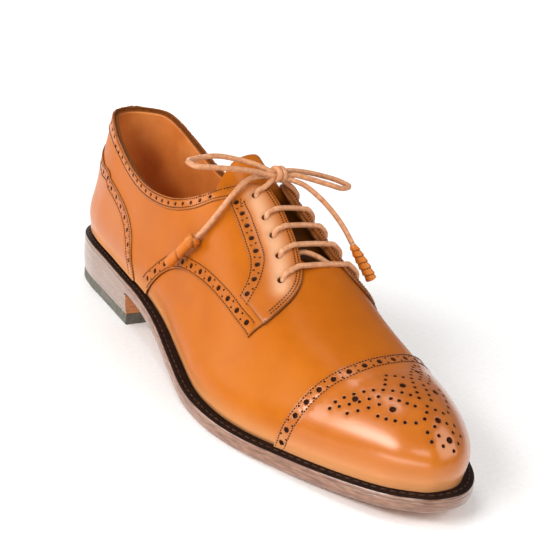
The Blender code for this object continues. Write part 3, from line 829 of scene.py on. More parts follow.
def makeUpper():
    toe = last["toeSpine"]
    half = np.concatenate([
        heelStations(upperLook["fineFrom"], upperLook["heelCount"], upperLook["step"]),
        np.arange(upperLook["fineFrom"], upperLook["throatEnd"], upperLook["fineStep"]),
        np.arange(upperLook["throatEnd"], toe, upperLook["step"]),
        angleStations(upperLook["toeCount"], toe, last["length"])])
    table = np.concatenate([half, half[-2::-1]])

    def place(u, v):
        index = np.round(u * (len(table) - 1)).astype(int)
        station = table[index]
        side = np.where(index < len(half), outer, inner)
        climb = v * upperTop(station)
        spot = lastPoint(side, station, climb, relief(side, station, climb))
        spot[:, 2] -= np.where(v < 0.001, upperLook["tuck"], 0)
        return spot

    leather = [vampCalf, lining, foldedEdge]
    piece = gridPiece("upperShell", len(table) - 1, upperLook["rows"], place, leather, True)
    paintFloorReflectionAtWelt(piece)
    wallInward(piece, upperLook["wall"], 1, 2)
    settle(piece, "calf", "upper")


makeUpper()
print("upper ready")


# leather panels: cut and punched on the pattern, then laid on the last a layer up
panelLook = {
    "spacing": 2.4, "rowShare": 0.87, "thick": 1.15, "loopGap": 0.25, "rimStep": 1.5, "sideProbe": 0.6,
    # climb of the lasted edge, of the strip that is pulled over, and where and how far it is tucked in
    "featherClimb": 0.012, "lasted": 0.05, "tuck": 0.9, "tuckFrom": 0.03, "tuckOver": 0.015,
    # at the edge and inside it: darkness (dye of burnished edges and painted shade at the step), lean
    "edgeIn": 0.7, "edgeDrop": 0.5, "edgeDark": (0.85, 0.2), "edgeLean": (0.9, 0.15),
    # along a sewn row and beside it: darkness (burnished stitch line and painted shade in the groove)
    "grooveHalf": 0.7, "grooveDrop": 0.18, "grooveDark": (0.35, 0.04), "grooveLean": 0.13,
    # at a hole's rim and round its mouth: darkness that is painted shade, lean
    "rimDrop": 0.25, "rimDark": (0.7, 0.12), "rimLean": (0.55, 0.05), "mouth": 0.22, "mouthShare": 0.25,
    # holes over this radius have the first number of corners, others the second
    "largeHole": 0.8, "holeCorners": (16, 10), "backingCorners": (10, 7), "holeMargin": 0.1,
    # points that the cut adds, where two lines cross, with a little darkness of burnishing and painted shade
    "crossDrop": 0.1, "crossDark": 0.1,
    "backingOver": 0.12, "backingRise": 0.2, "lowLayer": 0.9, "onLowLayer": 1.28,
}
stitchRows = []
backing = []


def insideLoop(points, loop):
    inside = np.zeros(len(points), bool)
    x, y = points[:, 0], points[:, 1]
    for (ax, ay), (bx, by) in zip(loop, np.roll(loop, -1, axis=0)):
        if ay == by:
            continue
        inside ^= ((ay > y) != (by > y)) & (x < ax + (y - ay) / (by - ay) * (bx - ax))
    return inside


def turnArea(loop):
    x, y = loop.T
    return 0.5 * float(np.sum(x * np.roll(y, -1) - y * np.roll(x, -1)))


def cleanLoop(parts):
    loop = np.concatenate(parts)
    loop = loop[np.linalg.norm(loop - np.roll(loop, 1, axis=0), axis=1) > panelLook["loopGap"]]
    return loop if turnArea(loop) > 0 else loop[::-1]


def roundHole(centre, radius, count):
    # a hole that is round on the leather, not on the pattern
    along, aside = stretch(np.array(centre, float))
    metric = np.array([[along @ along, along @ aside], [along @ aside, aside @ aside]])
    size, axes = np.linalg.eigh(metric)
    root = axes @ np.diag(size ** -0.5) @ axes.T
    angles = np.linspace(0, 2 * math.pi, count, endpoint=False)
    circle = radius * np.stack([np.cos(angles), np.sin(angles)])
    return np.array(centre) + (root @ circle).T


def surfaceFrame(flat, grow):
    # the leather's own directions and normal at places of the pattern
    step = pattern["probe"]
    sides = []
    for shift in ((step, 0), (-step, 0), (0, step), (0, -step)):
        side, station, climb = takeUp(flat + shift)
        sides.append(lastPoint(side, station, climb, grow + relief(side, station, climb)))
    along = sides[0] - sides[1]
    aside = sides[2] - sides[3]
    return along, aside, unit(np.cross(along, aside))


def outwardOf(loop):
    run = np.roll(loop, -1, axis=0) - np.roll(loop, 1, axis=0)
    return -leftOf(run)


def cornersOf(radius, choice):
    return choice[0] if radius > panelLook["largeHole"] else choice[1]


def layOut(loop, holes, grooves):
    # every point of a panel: place, drop below its height, darkness of burnishing and painted shade, lean of
    # the surface
    look = panelLook
    out = outwardOf(loop)
    closed = np.concatenate([loop[-2:], loop, loop[:2]])
    rimIn = beside(closed, look["edgeIn"])[2:-2]
    rows = [(loop, look["edgeDrop"], look["edgeDark"][0], out * look["edgeLean"][0]),
            (rimIn, 0.0, look["edgeDark"][1], out * look["edgeLean"][1])]
    edges = [(i, (i + 1) % len(loop)) for i in range(len(loop))]
    count = len(loop) * 2
    half = look["grooveHalf"]
    for line in grooves:
        for offset in (0.0, half, -half):
            row = beside(line, offset) if offset else line
            lean = (line - row) * look["grooveLean"] / half
            keep = insideLoop(row, loop)
            drop = 0 if offset else look["grooveDrop"]
            rows.append((row[keep], drop, look["grooveDark"][1 if offset else 0], lean[keep]))
            count += int(keep.sum())
    rims = []
    for x, y, radius in holes:
        corners = cornersOf(radius, look["holeCorners"])
        rim = roundHole((x, y), radius, corners)
        mouth = roundHole((x, y), radius + max(look["mouth"], radius * look["mouthShare"]), corners)
        rims.append(rim)
        edges += [(count + i, count + (i + 1) % corners) for i in range(corners)]
        inward = unit(np.array((x, y)) - rim)
        drop = look["rimDrop"] * min(1.0, radius)
        rows.append((rim, drop, look["rimDark"][0], inward * look["rimLean"][0]))
        rows.append((mouth, 0.0, look["rimDark"][1], inward * look["rimLean"][1]))
        count += 2 * corners
    taken = np.concatenate([row[0] for row in rows])
    low, high = loop.min(axis=0), loop.max(axis=0)
    step = panelLook["spacing"]
    down = np.arange(low[1], high[1], step * panelLook["rowShare"])
    gx, gy = np.meshgrid(np.arange(low[0], high[0], step), down)
    gx = gx + (np.arange(len(gx)) % 2)[:, None] * step / 2
    field = np.stack([gx.ravel(), gy.ravel()], -1)
    field = field[insideLoop(field, loop)]
    near = np.array([np.min(np.sum((taken - spot) ** 2, axis=1)) for spot in field])
    field = field[near > (0.5 * step) ** 2]
    rows.append((field, 0.0, 0.0, np.zeros(field.shape)))
    flat = np.concatenate([row[0] for row in rows])
    drop = np.concatenate([np.full(len(row[0]), row[1]) for row in rows])
    dark = np.concatenate([np.full(len(row[0]), row[2]) for row in rows])
    lean = np.concatenate([row[3] for row in rows])
    return flat, drop, dark, lean, edges, rims


def cutFaces(plane, faces, rims):
    # the triangles that lie in no hole
    corners = np.array([list(f) for f in faces])
    centres = plane[corners].mean(axis=1)
    keep = np.ones(len(corners), bool)
    for rim in rims:
        middle = rim.mean(axis=0)
        span = np.max(np.linalg.norm(rim - middle, axis=1)) + panelLook["holeMargin"]
        close = np.where(np.linalg.norm(centres - middle, axis=1) < span)[0]
        keep[close[insideLoop(centres[close], rim)]] = False
    return corners[keep]


def cutPanel(name, node, loop, holes, grow, grooves, materials):
    flat, drop, dark, lean, edges, rims = layOut(loop, holes, grooves)
    verts, _, faces, source, _, _ = delaunay_2d_cdt([Vector(p) for p in flat], edges, [], 1, 1e-4)
    plane = np.array([tuple(v) for v in verts])
    first = np.array([ids[0] if ids else -1 for ids in source])
    corners = cutFaces(plane, faces, rims)
    side, station, climb = takeUp(plane)
    lasted = climb < panelLook["lasted"]
    drop = np.where(lasted, 0, np.where(first < 0, panelLook["crossDrop"], drop[first]))
    dark = np.where(lasted, 0, np.where(first < 0, panelLook["crossDark"], dark[first]))
    lean = np.where(first[:, None] < 0, 0, lean[first])
    height = grow + relief(side, station, climb)
    tuck = panelLook["tuck"] * np.clip((panelLook["tuckFrom"] - climb) / panelLook["tuckOver"], 0, 1)
    top = lastPoint(side, station, climb, height - drop)
    low = lastPoint(side, station, climb, height - panelLook["thick"])
    top[:, 2] -= tuck
    low[:, 2] -= tuck
    along, aside, normal = surfaceFrame(plane, grow)
    size = np.where(lasted, 0, np.linalg.norm(lean, axis=1))[:, None]
    way = along * lean[:, :1] + aside * lean[:, 1:]
    way = way / np.maximum(np.linalg.norm(way, axis=1, keepdims=True), 1e-9)
    normal = unit(normal + way * size)
    builder = bmesh.new()
    # the dark layer holds burnished edges and painted shade at edges, sewn rows and hole rims
    burnishAndShade = builder.verts.layers.float.new("burnishAndShade")
    used = np.unique(corners)
    upper = dict(zip(used, addRing(builder, top[used])))
    under = dict(zip(used, addRing(builder, low[used])))
    for i in used:
        upper[i][burnishAndShade] = dark[i]
        under[i][burnishAndShade] = dark[i]
    free = {}
    for a, b, c in corners:
        builder.faces.new([upper[a], upper[b], upper[c]])
        for edge in ((a, b), (b, c), (c, a)):
            if free.pop(edge[::-1], None) is None:
                free[edge] = True
    for a, b, c in corners:
        builder.faces.new([under[c], under[b], under[a]])
    for a, b in free:
        builder.faces.new([upper[b], upper[a], under[a], under[b]]).material_index = 1
    piece = makePiece(name, builder, materials)
    normals = np.zeros((len(piece.data.loops), 3))
    normals[:corners.size] = normal[corners.ravel()]
    for face in piece.data.polygons[len(corners):]:
        normals[face.loop_start:face.loop_start + face.loop_total] = face.normal
    piece.data.normals_split_custom_set(normals)
    bottom = grow - panelLook["thick"] + panelLook["backingRise"]
    bottom = bottom if bottom < panelLook["lowLayer"] else panelLook["onLowLayer"]
    backing.extend((x, y, radius + panelLook["backingOver"], bottom) for x, y, radius in holes)
    return settle(piece, "calf", node)


def makeBacking():
    # painted shade: a near-black layer at the bottom of the punched holes, where the leather beneath lies in
    # shade
    builder = bmesh.new()
    for x, y, radius, grow in backing:
        rim = roundHole((x, y), radius, cornersOf(radius, panelLook["backingCorners"]))
        builder.faces.new(addRing(builder, onLast(rim, grow)))
    settle(makePiece("punchBacking", builder, [holeShadeLeather]), "calf")


# sewing: short raised stitches, drawn down into the leather; the shape has shares of length and radius
stitchLook = {"length": 0.85, "radius": 0.27, "pitch": 1.45, "sides": 5, "sunk": 0.02, "probe": 0.5,
              "shape": ((-1, 0.3), (-0.62, 1), (0.62, 1), (1, 0.3))}


def addStitch(builder, spot, run, across, look):
    ways = around(look["sides"], across, np.cross(run, across))
    rings = []
    for along, wide in look["shape"]:
        centre = spot + run * along * look["length"] / 2
        rings.append(addRing(builder, centre + look["radius"] * wide * ways))
    joinRings(builder, rings, True)


def sew(name, rows):
    builder = bmesh.new()
    for line, lift in rows:
        places = evenly(line, stitchLook["pitch"], grow=lift)
        spots = onLast(places, lift)
        up = unit(onLast(places, lift + stitchLook["probe"]) - spots)
        run = unit(np.gradient(spots, axis=0))
        for spot, along, aside in zip(spots, run, unit(np.cross(up, run))):
            addStitch(builder, spot, along, aside, stitchLook)
    settle(makePiece(name, builder, [thread]), "calf")


def brogue(line, look):
    # large holes in a row, and a pair of pinholes between each two where the look has them
    holes = [(x, y, look["large"]) for x, y in evenly(line, look["pitch"])]
    if "pin" in look:
        # half a pitch past each large hole, and a little further for the line's direction
        between = evenly(line, look["pitch"], 1.0)[:-1]
        ahead = evenly(line, look["pitch"], 1.04)[:len(between)]
        aside = leftOf(ahead - between)
        for offset in (-look["pinApart"], look["pinApart"]):
            holes += [(x, y, look["pin"]) for x, y in between + offset * aside]
    return holes


def makePanel(name, node, loop, line, rows, look, materials, more=()):
    # a panel with holes along a line, others where asked, and its sewn rows
    piece = cutPanel(name, node, loop, brogue(line, look) + list(more), look["grow"], rows, materials)
    stitchRows.extend((row, look["grow"] - stitchLook["sunk"]) for row in rows)
    return piece


# toe cap: straight seam, one row of large holes with pinholes between, and the medallion
cap = {
    "grow": 1.2, "holeLine": 3.3, "rows": (1.0, 5.6), "pitch": 7.2, "large": 1.2, "pin": 0.46,
    "pinApart": 1.3, "medallionLarge": 1.3, "medallionPin": 0.72, "settleTurns": 40, "settleShare": 0.8,
    "seamPoints": 90, "toeFrom": 239.5, "toeStep": 1.5, "toeCount": 60,
    # climb, station of the seam
    "seam": [(0, 238), (0.15, 240), (0.33, 241.4), (0.5, 241.9), (0.7, 242.3), (0.92, 243.6), (1.14, 245.3),
             (1.4, 246.3), (1.571, 246.5)],
    # distance from the heel back, distance from the axis
    "largeSpots": [(267, 0), (287, 0), (294.2, 0), (259.2, 16.2), (274, 11.2)],
    "pinSpots": [
        (258, 0), (260.2, 2.5), (262.4, 4.8),
        (276, 0), (273.1, 1.7), (270.2, 3.4), (267.2, 5.3), (264.3, 7.4), (261.7, 9.8), (259.4, 12.4),
        (257.2, 15.2), (255.2, 17.9), (253.6, 20.6),
        (280.6, 0), (278.4, 4.2), (275.7, 5.7), (272.8, 7.1), (269.8, 8.5), (265.6, 10.8), (263.6, 13.4),
        (261.5, 16.1), (259, 18.6), (256.3, 20.9), (253.6, 23),
        (268.5, 12.8), (266.3, 15.8), (263.8, 18.5), (261, 21),
        (282.9, 2.3), (284.7, 5), (284, 8.5), (281.3, 11.4), (278.2, 13.4), (275, 14.9), (271.7, 15.9),
        (288.7, 3.3), (291.9, 3.9), (295.2, 4.2), (297.2, 0), (289.2, 7.3), (292.5, 7.9)],
    # a point of the axis, and how it slants
    "axis": (260.0, -3.9, 0.17),
}


def planToFlat(plan, grow):
    # where points seen from above lie on the pattern
    flat = np.array(plan, float)
    for turn in range(cap["settleTurns"]):
        flat = flat + cap["settleShare"] * (np.array(plan) - onLast(flat, grow)[:, :2])
    return flat


def medallion():
    x0, y0, slope = cap["axis"]
    spots = []
    sizes = []
    for rows, radius in ((cap["largeSpots"], cap["medallionLarge"]), (cap["pinSpots"], cap["medallionPin"])):
        for x, off in rows:
            for sign in ((1, -1) if off else (1,)):
                spots.append((x, y0 + slope * (x - x0) + sign * off))
                sizes.append(radius)
    flat = planToFlat(spots, cap["grow"])
    return [(x, y, r) for (x, y), r in zip(flat, sizes)]


def within(line, loop, distance):
    # a line beside another on the panel's own side
    middle = len(line) // 2
    probe = beside(line, panelLook["sideProbe"])[middle:middle + 1]
    return beside(line, distance if insideLoop(probe, loop)[0] else -distance)


def featherLine(side, stations):
    return layFlat(side, stations, np.full(len(stations), panelLook["featherClimb"]))


def makeCap():
    climbs = np.linspace(panelLook["featherClimb"], math.pi / 2, cap["seamPoints"])
    station = tableColumn(cap["seam"], 1)(climbs)
    seam = np.concatenate([layFlat(outer, station, climbs), layFlat(inner, station, climbs)[-2::-1]])
    seam = through(seam, pattern["lineStep"])
    toe = np.concatenate([np.arange(cap["toeFrom"], last["toeSpine"], cap["toeStep"]),
                          angleStations(cap["toeCount"], last["toeSpine"], last["length"])])
    feather = np.concatenate([featherLine(inner, toe), featherLine(outer, toe[:-1])[::-1]])
    loop = cleanLoop([seam, feather])
    rows = [within(seam, loop, d) for d in cap["rows"]]
    line = within(seam, loop, cap["holeLine"])
    paintFloorReflectionAtWelt(makePanel("toeCap", "toe_cap", loop, line, rows, cap, [capCalf, cutEdge], medallion()))


makeCap()
print("toe cap ready")

# quarters: from the back seam to the tab, with a punched band along the lower edge
quarter = {
    "grow": 1.2, "rows": (1.0, 7.0), "holeLine": 4.0, "pitch": 8.5, "large": 1.25, "pin": 0.48,
    "pinApart": 1.7,
    # station, height
    "lower": [(104, 25.4), (106.2, 27.4), (110, 31.2), (114.1, 35.4), (119.5, 41.4), (125.2, 45.8),
              (132.3, 49), (140.9, 50.8), (149.9, 51.6), (165.4, 51.2), (178.5, 49.2), (189.5, 46.6),
              (200.5, 43.7), (202.4, 43)],
    # station, distance from the spine
    "facing": [(203.2, 41), (204.5, 38.1), (206, 33.7), (206.1, 29), (204.9, 23.3), (201.6, 18.2),
               (197.3, 14.8), (190.4, 12), (181.7, 9.4), (173.3, 7.8), (162.7, 6.4), (153.4, 6.6),
               (150, 6.9)],
    "corner": 148.4, "rimLower": 0.3, "heelTo": 103.5, "backTop": 97.5, "backFoot": 0.02, "backPoints": 60,
    "rowFrom": 3, "holesFrom": 4,
}
eyelet = {"places": [(153.3, 14.4), (165.2, 16), (174.7, 17.3), (184.8, 19.7), (195.3, 24.2)], "radius": 1.55,
          "innerShare": 0.9, "clearance": 0.25}


def rimLine(side, first, end, lower):
    count = max(3, int(abs(end - first) / panelLook["rimStep"]))
    station = np.linspace(first, end, count)
    return layFlat(side, station, climbToHeight(station, toplineHeight(station) - lower))


def eyeletClimb(side, station, gap):
    return facingClimb(station, gap) * (eyelet["innerShare"] if side > 0 else 1.0)


def eyeletPlaces(side, radius):
    station, gap = np.array(eyelet["places"]).T
    flat = layFlat(side, station, eyeletClimb(side, station, gap))
    return [(x, y, radius) for x, y in flat]


def makeQuarter(name, node, side):
    lower = heightLine(side, quarter["lower"])
    tab = gapLine(side, quarter["facing"])
    top = rimLine(side, quarter["corner"], 0.0, quarter["rimLower"])
    highest = float(climbToHeight(np.array(0.0), quarter["backTop"]))
    back = np.linspace(highest, quarter["backFoot"], quarter["backPoints"])
    seam = layFlat(side, np.zeros(len(back)), back)
    loop = cleanLoop([lower, tab, top, seam, featherLine(side, heelStations(quarter["heelTo"]))])
    rows = [within(lower, loop, d)[quarter["rowFrom"]:] for d in quarter["rows"]]
    line = within(lower, loop, quarter["holeLine"])[quarter["holesFrom"]:]
    under = eyeletPlaces(side, eyelet["radius"] + eyelet["clearance"])
    paintFloorReflectionAtWelt(makePanel(name, node, loop, line, rows, quarter, [vampCalf, cutEdge], under))


makeQuarter("quarterOuter", "quarter_outer", outer)
makeQuarter("quarterInner", "quarter_inner", inner)
print("quarters ready")

# eyestays: along the facings, with a punched band at the rear edge and five punched eyelets
eyestay = {
    "grow": 2.0, "rearRows": (1.0, 6.9), "frontRows": (1.2, 2.7), "holeLine": 3.95, "pitch": 7.9,
    "large": 1.25, "pin": 0.48, "pinApart": 1.7, "rowFrom": 2, "top": (148.2, 143.2), "rimLower": 0.2,
    # a painted highlight along the eyelets, and past the lowest by a share of the last step
    "highlightReach": 4.6, "highlightShare": 0.58, "highlightPast": 0.3,
    # station, height
    "rear": [(142.6, 91.3), (144.3, 88.7), (146.3, 86.2), (156.8, 79.6), (168, 73), (177.8, 67),
             (182.6, 61.9), (184.4, 57.7), (185.2, 55)],
    "foot": [(185.2, 55), (190, 54), (196, 52.4), (202, 50.5), (205.6, 49.5)],
    # station, distance from the spine
    "facing": [(206, 33.9), (206.1, 29), (204.9, 23.1), (201.6, 18), (197.3, 14.6), (190.4, 11.8),
               (181.7, 9.2), (173.3, 7.6), (162.7, 6.2), (153.4, 6.4), (150, 6.7)],
}


def makeEyestay(name, node, side):
    rear = heightLine(side, eyestay["rear"])
    foot = heightLine(side, eyestay["foot"])
    facing = gapLine(side, eyestay["facing"])
    top = rimLine(side, *eyestay["top"], eyestay["rimLower"])
    loop = cleanLoop([rear, foot, facing, top])
    rows = [within(rear, loop, d)[eyestay["rowFrom"]:] for d in eyestay["rearRows"]]
    rows += [within(facing, loop, d) for d in eyestay["frontRows"]]
    line = within(rear, loop, eyestay["holeLine"])[eyestay["rowFrom"]:]
    eyelets = eyeletPlaces(side, eyelet["radius"])
    piece = makePanel(name, node, loop, line, rows, eyestay, [stayCalf, foldedEdge], eyelets)
    # painted highlight: pale round the line through the eyelets
    places = np.array(eyelets)[:, :2]
    past = places[-1:] + (places[-1:] - places[-2:-1]) * eyestay["highlightPast"]
    waxed = onLast(through(np.concatenate([places, past]), 1.0), eyestay["grow"])
    away = np.min(np.linalg.norm(vertexSpots(piece)[:, None] - waxed[None], axis=2), axis=1)
    paintPaleSheen(piece, away, eyestay["highlightShare"], eyestay["highlightReach"])


makeEyestay("eyestayOuter", "eyestay_outer", outer)
makeEyestay("eyestayInner", "eyestay_inner", inner)
print("eyestays ready")

# counter: round the heel, rising to the back seam, with a row of holes inside its edge
counter = {
    "grow": 2.0, "rows": (1.0, 5.8), "holeLine": 3.4, "pitch": 8.4, "large": 1.1, "pin": 0.4, "pinApart": 1.3,
    "heelTo": 88.6, "trim": 3,
    # station, height
    "edge": [(0, 84), (4, 80.6), (12, 75.4), (25.2, 69.9), (39.6, 66.2), (53.4, 61.9), (66, 57.2),
             (75.1, 51.6), (81.6, 45.2), (85.2, 38.6), (88, 31), (89.4, 26.6)],
}


def roundHeel(halves):
    return np.concatenate([halves[0][::-1], halves[1][1:]])


def makeCounter():
    edge = roundHeel([heightLine(side, counter["edge"]) for side in (outer, inner)])
    heelSide = heelStations(counter["heelTo"])
    feather = np.concatenate([featherLine(inner, heelSide)[::-1], featherLine(outer, heelSide[1:])])
    loop = cleanLoop([edge, feather])
    rows = [within(edge, loop, d) for d in (*counter["rows"], counter["holeLine"])]
    *rows, line = [row[insideLoop(row, loop)] for row in rows]
    line = line[counter["trim"]:-counter["trim"]]
    paintFloorReflectionAtWelt(makePanel("heelCounter", "heel_counter", loop, line, rows, counter, [calf, cutEdge]))


makeCounter()
print("counter ready")

# collar band: along the topline, with a row of holes along it
collar = {"grow": 2.0, "front": 146.2, "lowerBy": 0.6, "row": 1.1, "topRow": 1.1, "pitch": 6.0, "large": 0.92,
          "rimLower": 0.1, "topBack": 2, "evenTo": 146, "heelCount": 30, "step": 2.0, "linePoints": 300,
          "trim": 8}


def spread(line, count):
    share = np.linspace(0, 1, count)
    return np.stack([np.interp(share, np.linspace(0, 1, len(line)), line[:, k]) for k in (0, 1)], -1)


def makeCollar():
    end = collar["front"] - collar["topBack"]
    lower = collar["rimLower"]
    top = np.concatenate([rimLine(outer, end, 0, lower), rimLine(inner, 0, end, lower)[1:]])
    station = np.append(heelStations(collar["evenTo"], collar["heelCount"], collar["step"]), collar["front"])
    height = toplineHeight(station) - collarWidth(station) - collar["lowerBy"]
    halves = [layFlat(side, station, climbToHeight(station, height)) for side in (outer, inner)]
    low = through(roundHeel(halves), pattern["lineStep"])
    loop = cleanLoop([low, top[::-1]])
    rows = [within(low, loop, collar["row"]), within(top, loop, collar["topRow"])]
    middle = (spread(low, collar["linePoints"]) + spread(top, collar["linePoints"])) / 2
    line = middle[collar["trim"]:-collar["trim"]]
    makePanel("collarBand", "collar_band", loop, line, rows, collar, [calf, foldedEdge])


makeCollar()
makeBacking()
sew("upperStitches", stitchRows)
print("collar and stitches ready")

# tongue: soft leaf of calf under the throat, lined
tongue = {
    "sink": 2.9, "deeper": 0.7, "deeperFrom": 150, "deeperOver": 45, "thick": 2.0, "columns": 60, "rows": 40,
    # a valley along the middle: depth, half width as a share, where it opens and closes
    "valley": 2.6, "valleyHalf": 0.35, "opens": 146, "opensOver": 10, "closes": 200, "closesOver": 8,
    # darker where the facings keep the light off
    "shade": 0.9, "shadeFrom": 147, "shadeOver": 7,
    # station, half width as a share of the climb
    "shape": [(129, 0.2), (131, 0.34), (135, 0.45), (141, 0.5), (150, 0.51), (165, 0.5), (182, 0.49),
              (198, 0.48), (208, 0.47)],
}


def makeTongue():
    first, end = tongue["shape"][0][0], tongue["shape"][-1][0]

    def place(u, v):
        station = first + (end - first) * u
        across = v * 2 - 1
        climb = math.pi / 2 * (1 - np.abs(across) * tableColumn(tongue["shape"], 1)(station))
        deeper = np.clip((station - tongue["deeperFrom"]) / tongue["deeperOver"], 0, 1)
        opened = np.clip((station - tongue["opens"]) / tongue["opensOver"], 0, 1)
        closed = np.clip((tongue["closes"] - station) / tongue["closesOver"], 0, 1)
        valley = np.exp(-(across / tongue["valleyHalf"]) ** 2) * opened * closed
        sink = tongue["sink"] + tongue["deeper"] * deeper + tongue["valley"] * valley
        return lastPoint(np.where(across > 0, inner, outer), station, climb, -sink)

    leaf = [tongueCalf, lining, foldedEdge]
    piece = gridPiece("tongueLeaf", tongue["columns"], tongue["rows"], place, leaf)
    # painted shade: the tongue darkens from where the facings cover it
    covered = np.clip((vertexSpots(piece)[:, 0] - tongue["shadeFrom"]) / tongue["shadeOver"], 0, 1)
    paint(piece, "burnishAndShade", tongue["shade"] * covered)
    wallInward(piece, tongue["thick"], 1, 2)
    settle(piece, "calf", "tongue")


makeTongue()
print("tongue ready")

# sole pieces: closed rings round the outline, from the outline's inset and the height above the sole's face
sole = {
    "count": 150, "heelCount": 60, "crease": 40,
    # inset, rise
    "outsole": [(7, 4.97), (0.35, 4.97), (0.12, 4.93), (0.02, 4.8), (0, 4.3), (0, 2.6), (0.1, 1.7),
                (0.35, 0.9), (0.8, 0.3), (1.5, 0), (7, 0)],
    "welt": [(8.1, 5), (0.35, 5), (0.15, 5.04), (0.06, 5.15), (0.06, 6), (0.35, 6.6), (0.8, 7), (1.5, 7.1),
             (8.1, 7.1)],
    "insole": [(8.5, 5), (8.5, 8.1), (8.9, 8.5), (9.8, 8.6), (14, 8.5), (20, 8.3)],
    # the outsole's band that is its tread, and the welt's bands that are its edge
    "treadBand": 9, "weltEdgeBands": 5,
    # square lower edge where the heel carries the sole
    "squareRise": 2, "squareInset": 3, "squareTo": 0.1,
}


def soleRing(stations, inset, level):
    angles = outlineAngle(stations)
    sides = [insetPoint(np.full(len(stations), side), angles, inset) for side in (outer, inner)]
    whole = stations[-1] >= last["length"]
    plan = np.vstack([sides[0], sides[1][-2:0:-1] if whole else sides[1][:0:-1]])
    place = np.concatenate([stations, stations[-2:0:-1] if whole else stations[:0:-1]])
    return np.column_stack([plan, level(place)])


def ringPiece(name, rings, materials, bandMaterial=None, capped=True):
    builder = bmesh.new()
    made = [addRing(builder, ring) for ring in rings]
    pick = bandMaterial or (lambda band: 0)
    for number, band in enumerate(joinRings(builder, made)):
        for face in band:
            face.material_index = pick(number)
    count = len(made[0])
    for ring, band in ((made[0], 0), (made[-1], len(made) - 2)) if capped else ():
        for i in range(count // 2 + 1):
            a, b, c, d = i, (count - i) % count, i + 1, count - i - 1
            if c > d:
                break
            corners = [ring[a], ring[c], ring[d], ring[b]]
            unique = [v for k, v in enumerate(corners) if v not in corners[:k]]
            if len(unique) > 2:
                builder.faces.new(unique).material_index = pick(band)
    bmesh.ops.recalc_face_normals(builder, faces=builder.faces)
    piece = makePiece(name, builder, materials)
    sharpen(piece, sole["crease"])
    return piece


def makeSole():
    stations = angleStations(sole["count"], 0, last["length"])

    def rings(rows):
        made = []
        for inset, rise in rows:
            low = rise < sole["squareRise"] and inset < sole["squareInset"]
            square = (stations < last["heelLength"]) & low
            edge = np.where(square, min(inset, sole["squareTo"]), inset)
            made.append(soleRing(stations, edge, lambda s, rise=rise: soleBottom(s) + rise))
        return made

    outsole = ringPiece("outsolePiece", rings(sole["outsole"]), [soleEdge, soleFace, heelEdge],
                        lambda band: 1 if band == sole["treadBand"] else 0)
    settle(outsole, "sole", "outsole")
    weltRows = sole["welt"] + sole["welt"][:1]
    weltPiece = ringPiece("weltPiece", rings(weltRows), [weltLeather, soleEdge, heelEdge],
                          lambda band: 1 if band < sole["weltEdgeBands"] else 0, False)
    breast = toFrame((last["heelLength"], 0, 0))[0]
    for piece, edge in ((outsole, 0), (weltPiece, 1)):
        for face in piece.data.polygons:
            if face.material_index == edge and face.center.x < breast:
                face.material_index = 2
    settle(weltPiece, "welt", "welt")
    settle(ringPiece("insolePiece", rings(sole["insole"]), [lining]), "lining", "insole")


# heel: a stack of leather layers with fine grooves between, on a rubber lift
heel = {
    "lift": 6.0, "gap": 0.3, "taper": 1.6, "waist": 0.4, "top": 0.12, "layers": 4, "groove": 0.03,
    "grooveHalf": 0.02, "seatGap": 0.02, "breastFacing": 0.9,
    # inset past the taper, height
    "liftRows": [(0.9, 0.0), (0.4, 0.35), (0.2, 0.9), (0, 5.6), (0.3, 6.0)],
}


def makeHeel():
    stations = angleStations(sole["heelCount"], 0, last["heelLength"])
    low = heel["lift"] + heel["gap"]
    half = heel["grooveHalf"]
    edge = smoothCurve([0, 0.5, 1], [heel["taper"], heel["taper"] * heel["waist"], heel["top"]])
    rows = [(edge(0), 0.0)]
    for number in range(1, heel["layers"]):
        share = number / heel["layers"]
        rows += [(edge(share - half), share - half), (edge(share) + heel["groove"], share),
                 (edge(share + half), share + half)]
    rows.append((edge(1), 1.0))

    def stackLevel(share):
        return lambda s: low + share * (soleBottom(s) - heel["seatGap"] - low)

    rings = [soleRing(stations, inset, stackLevel(share)) for inset, share in rows]
    stack = ringPiece("heelStack", rings, [heelEdge, breastLeather])
    for face in stack.data.polygons:
        face.material_index = 1 if face.normal.x > heel["breastFacing"] else 0
    settle(stack, "heel", "heel_stack")
    rings = []
    for more, height in heel["liftRows"]:
        rings.append(soleRing(stations, heel["taper"] + more, lambda s, height=height: height + 0 * s))
    settle(ringPiece("heelLift", rings, [rubber]), "rubber", "heel_top_lift")


makeSole()
makeHeel()

# welt stitches: coarse thread along the ledge, all the way round
weltStitch = {"length": 2.6, "radius": 0.36, "pitch": 3.9, "sides": 6, "inset": 2.6, "lift": 0.1,
              "points": 900, "shape": ((-1, 0.3), (-0.65, 1), (0.65, 1), (1, 0.3))}


def makeWeltStitches():
    ring = soleRing(angleStations(weltStitch["points"], 0, last["length"]), weltStitch["inset"], weltTop)
    closed = np.vstack([ring, ring[:1]])
    run = runLength(closed)
    count = int(run[-1] / weltStitch["pitch"])
    places = np.arange(count) * run[-1] / count
    spots = np.stack([np.interp(places, run, closed[:, k]) for k in range(3)], -1)
    way = unit(np.roll(spots, -1, axis=0) - np.roll(spots, 1, axis=0))
    across = unit(np.cross((0, 0, 1.0), way))
    builder = bmesh.new()
    for spot, along, aside in zip(spots + (0, 0, weltStitch["lift"]), way, across):
        addStitch(builder, spot, along, aside, weltStitch)
    settle(makePiece("weltStitches", builder, [weltThread]), "welt")


makeWeltStitches()
print("sole and heel ready")

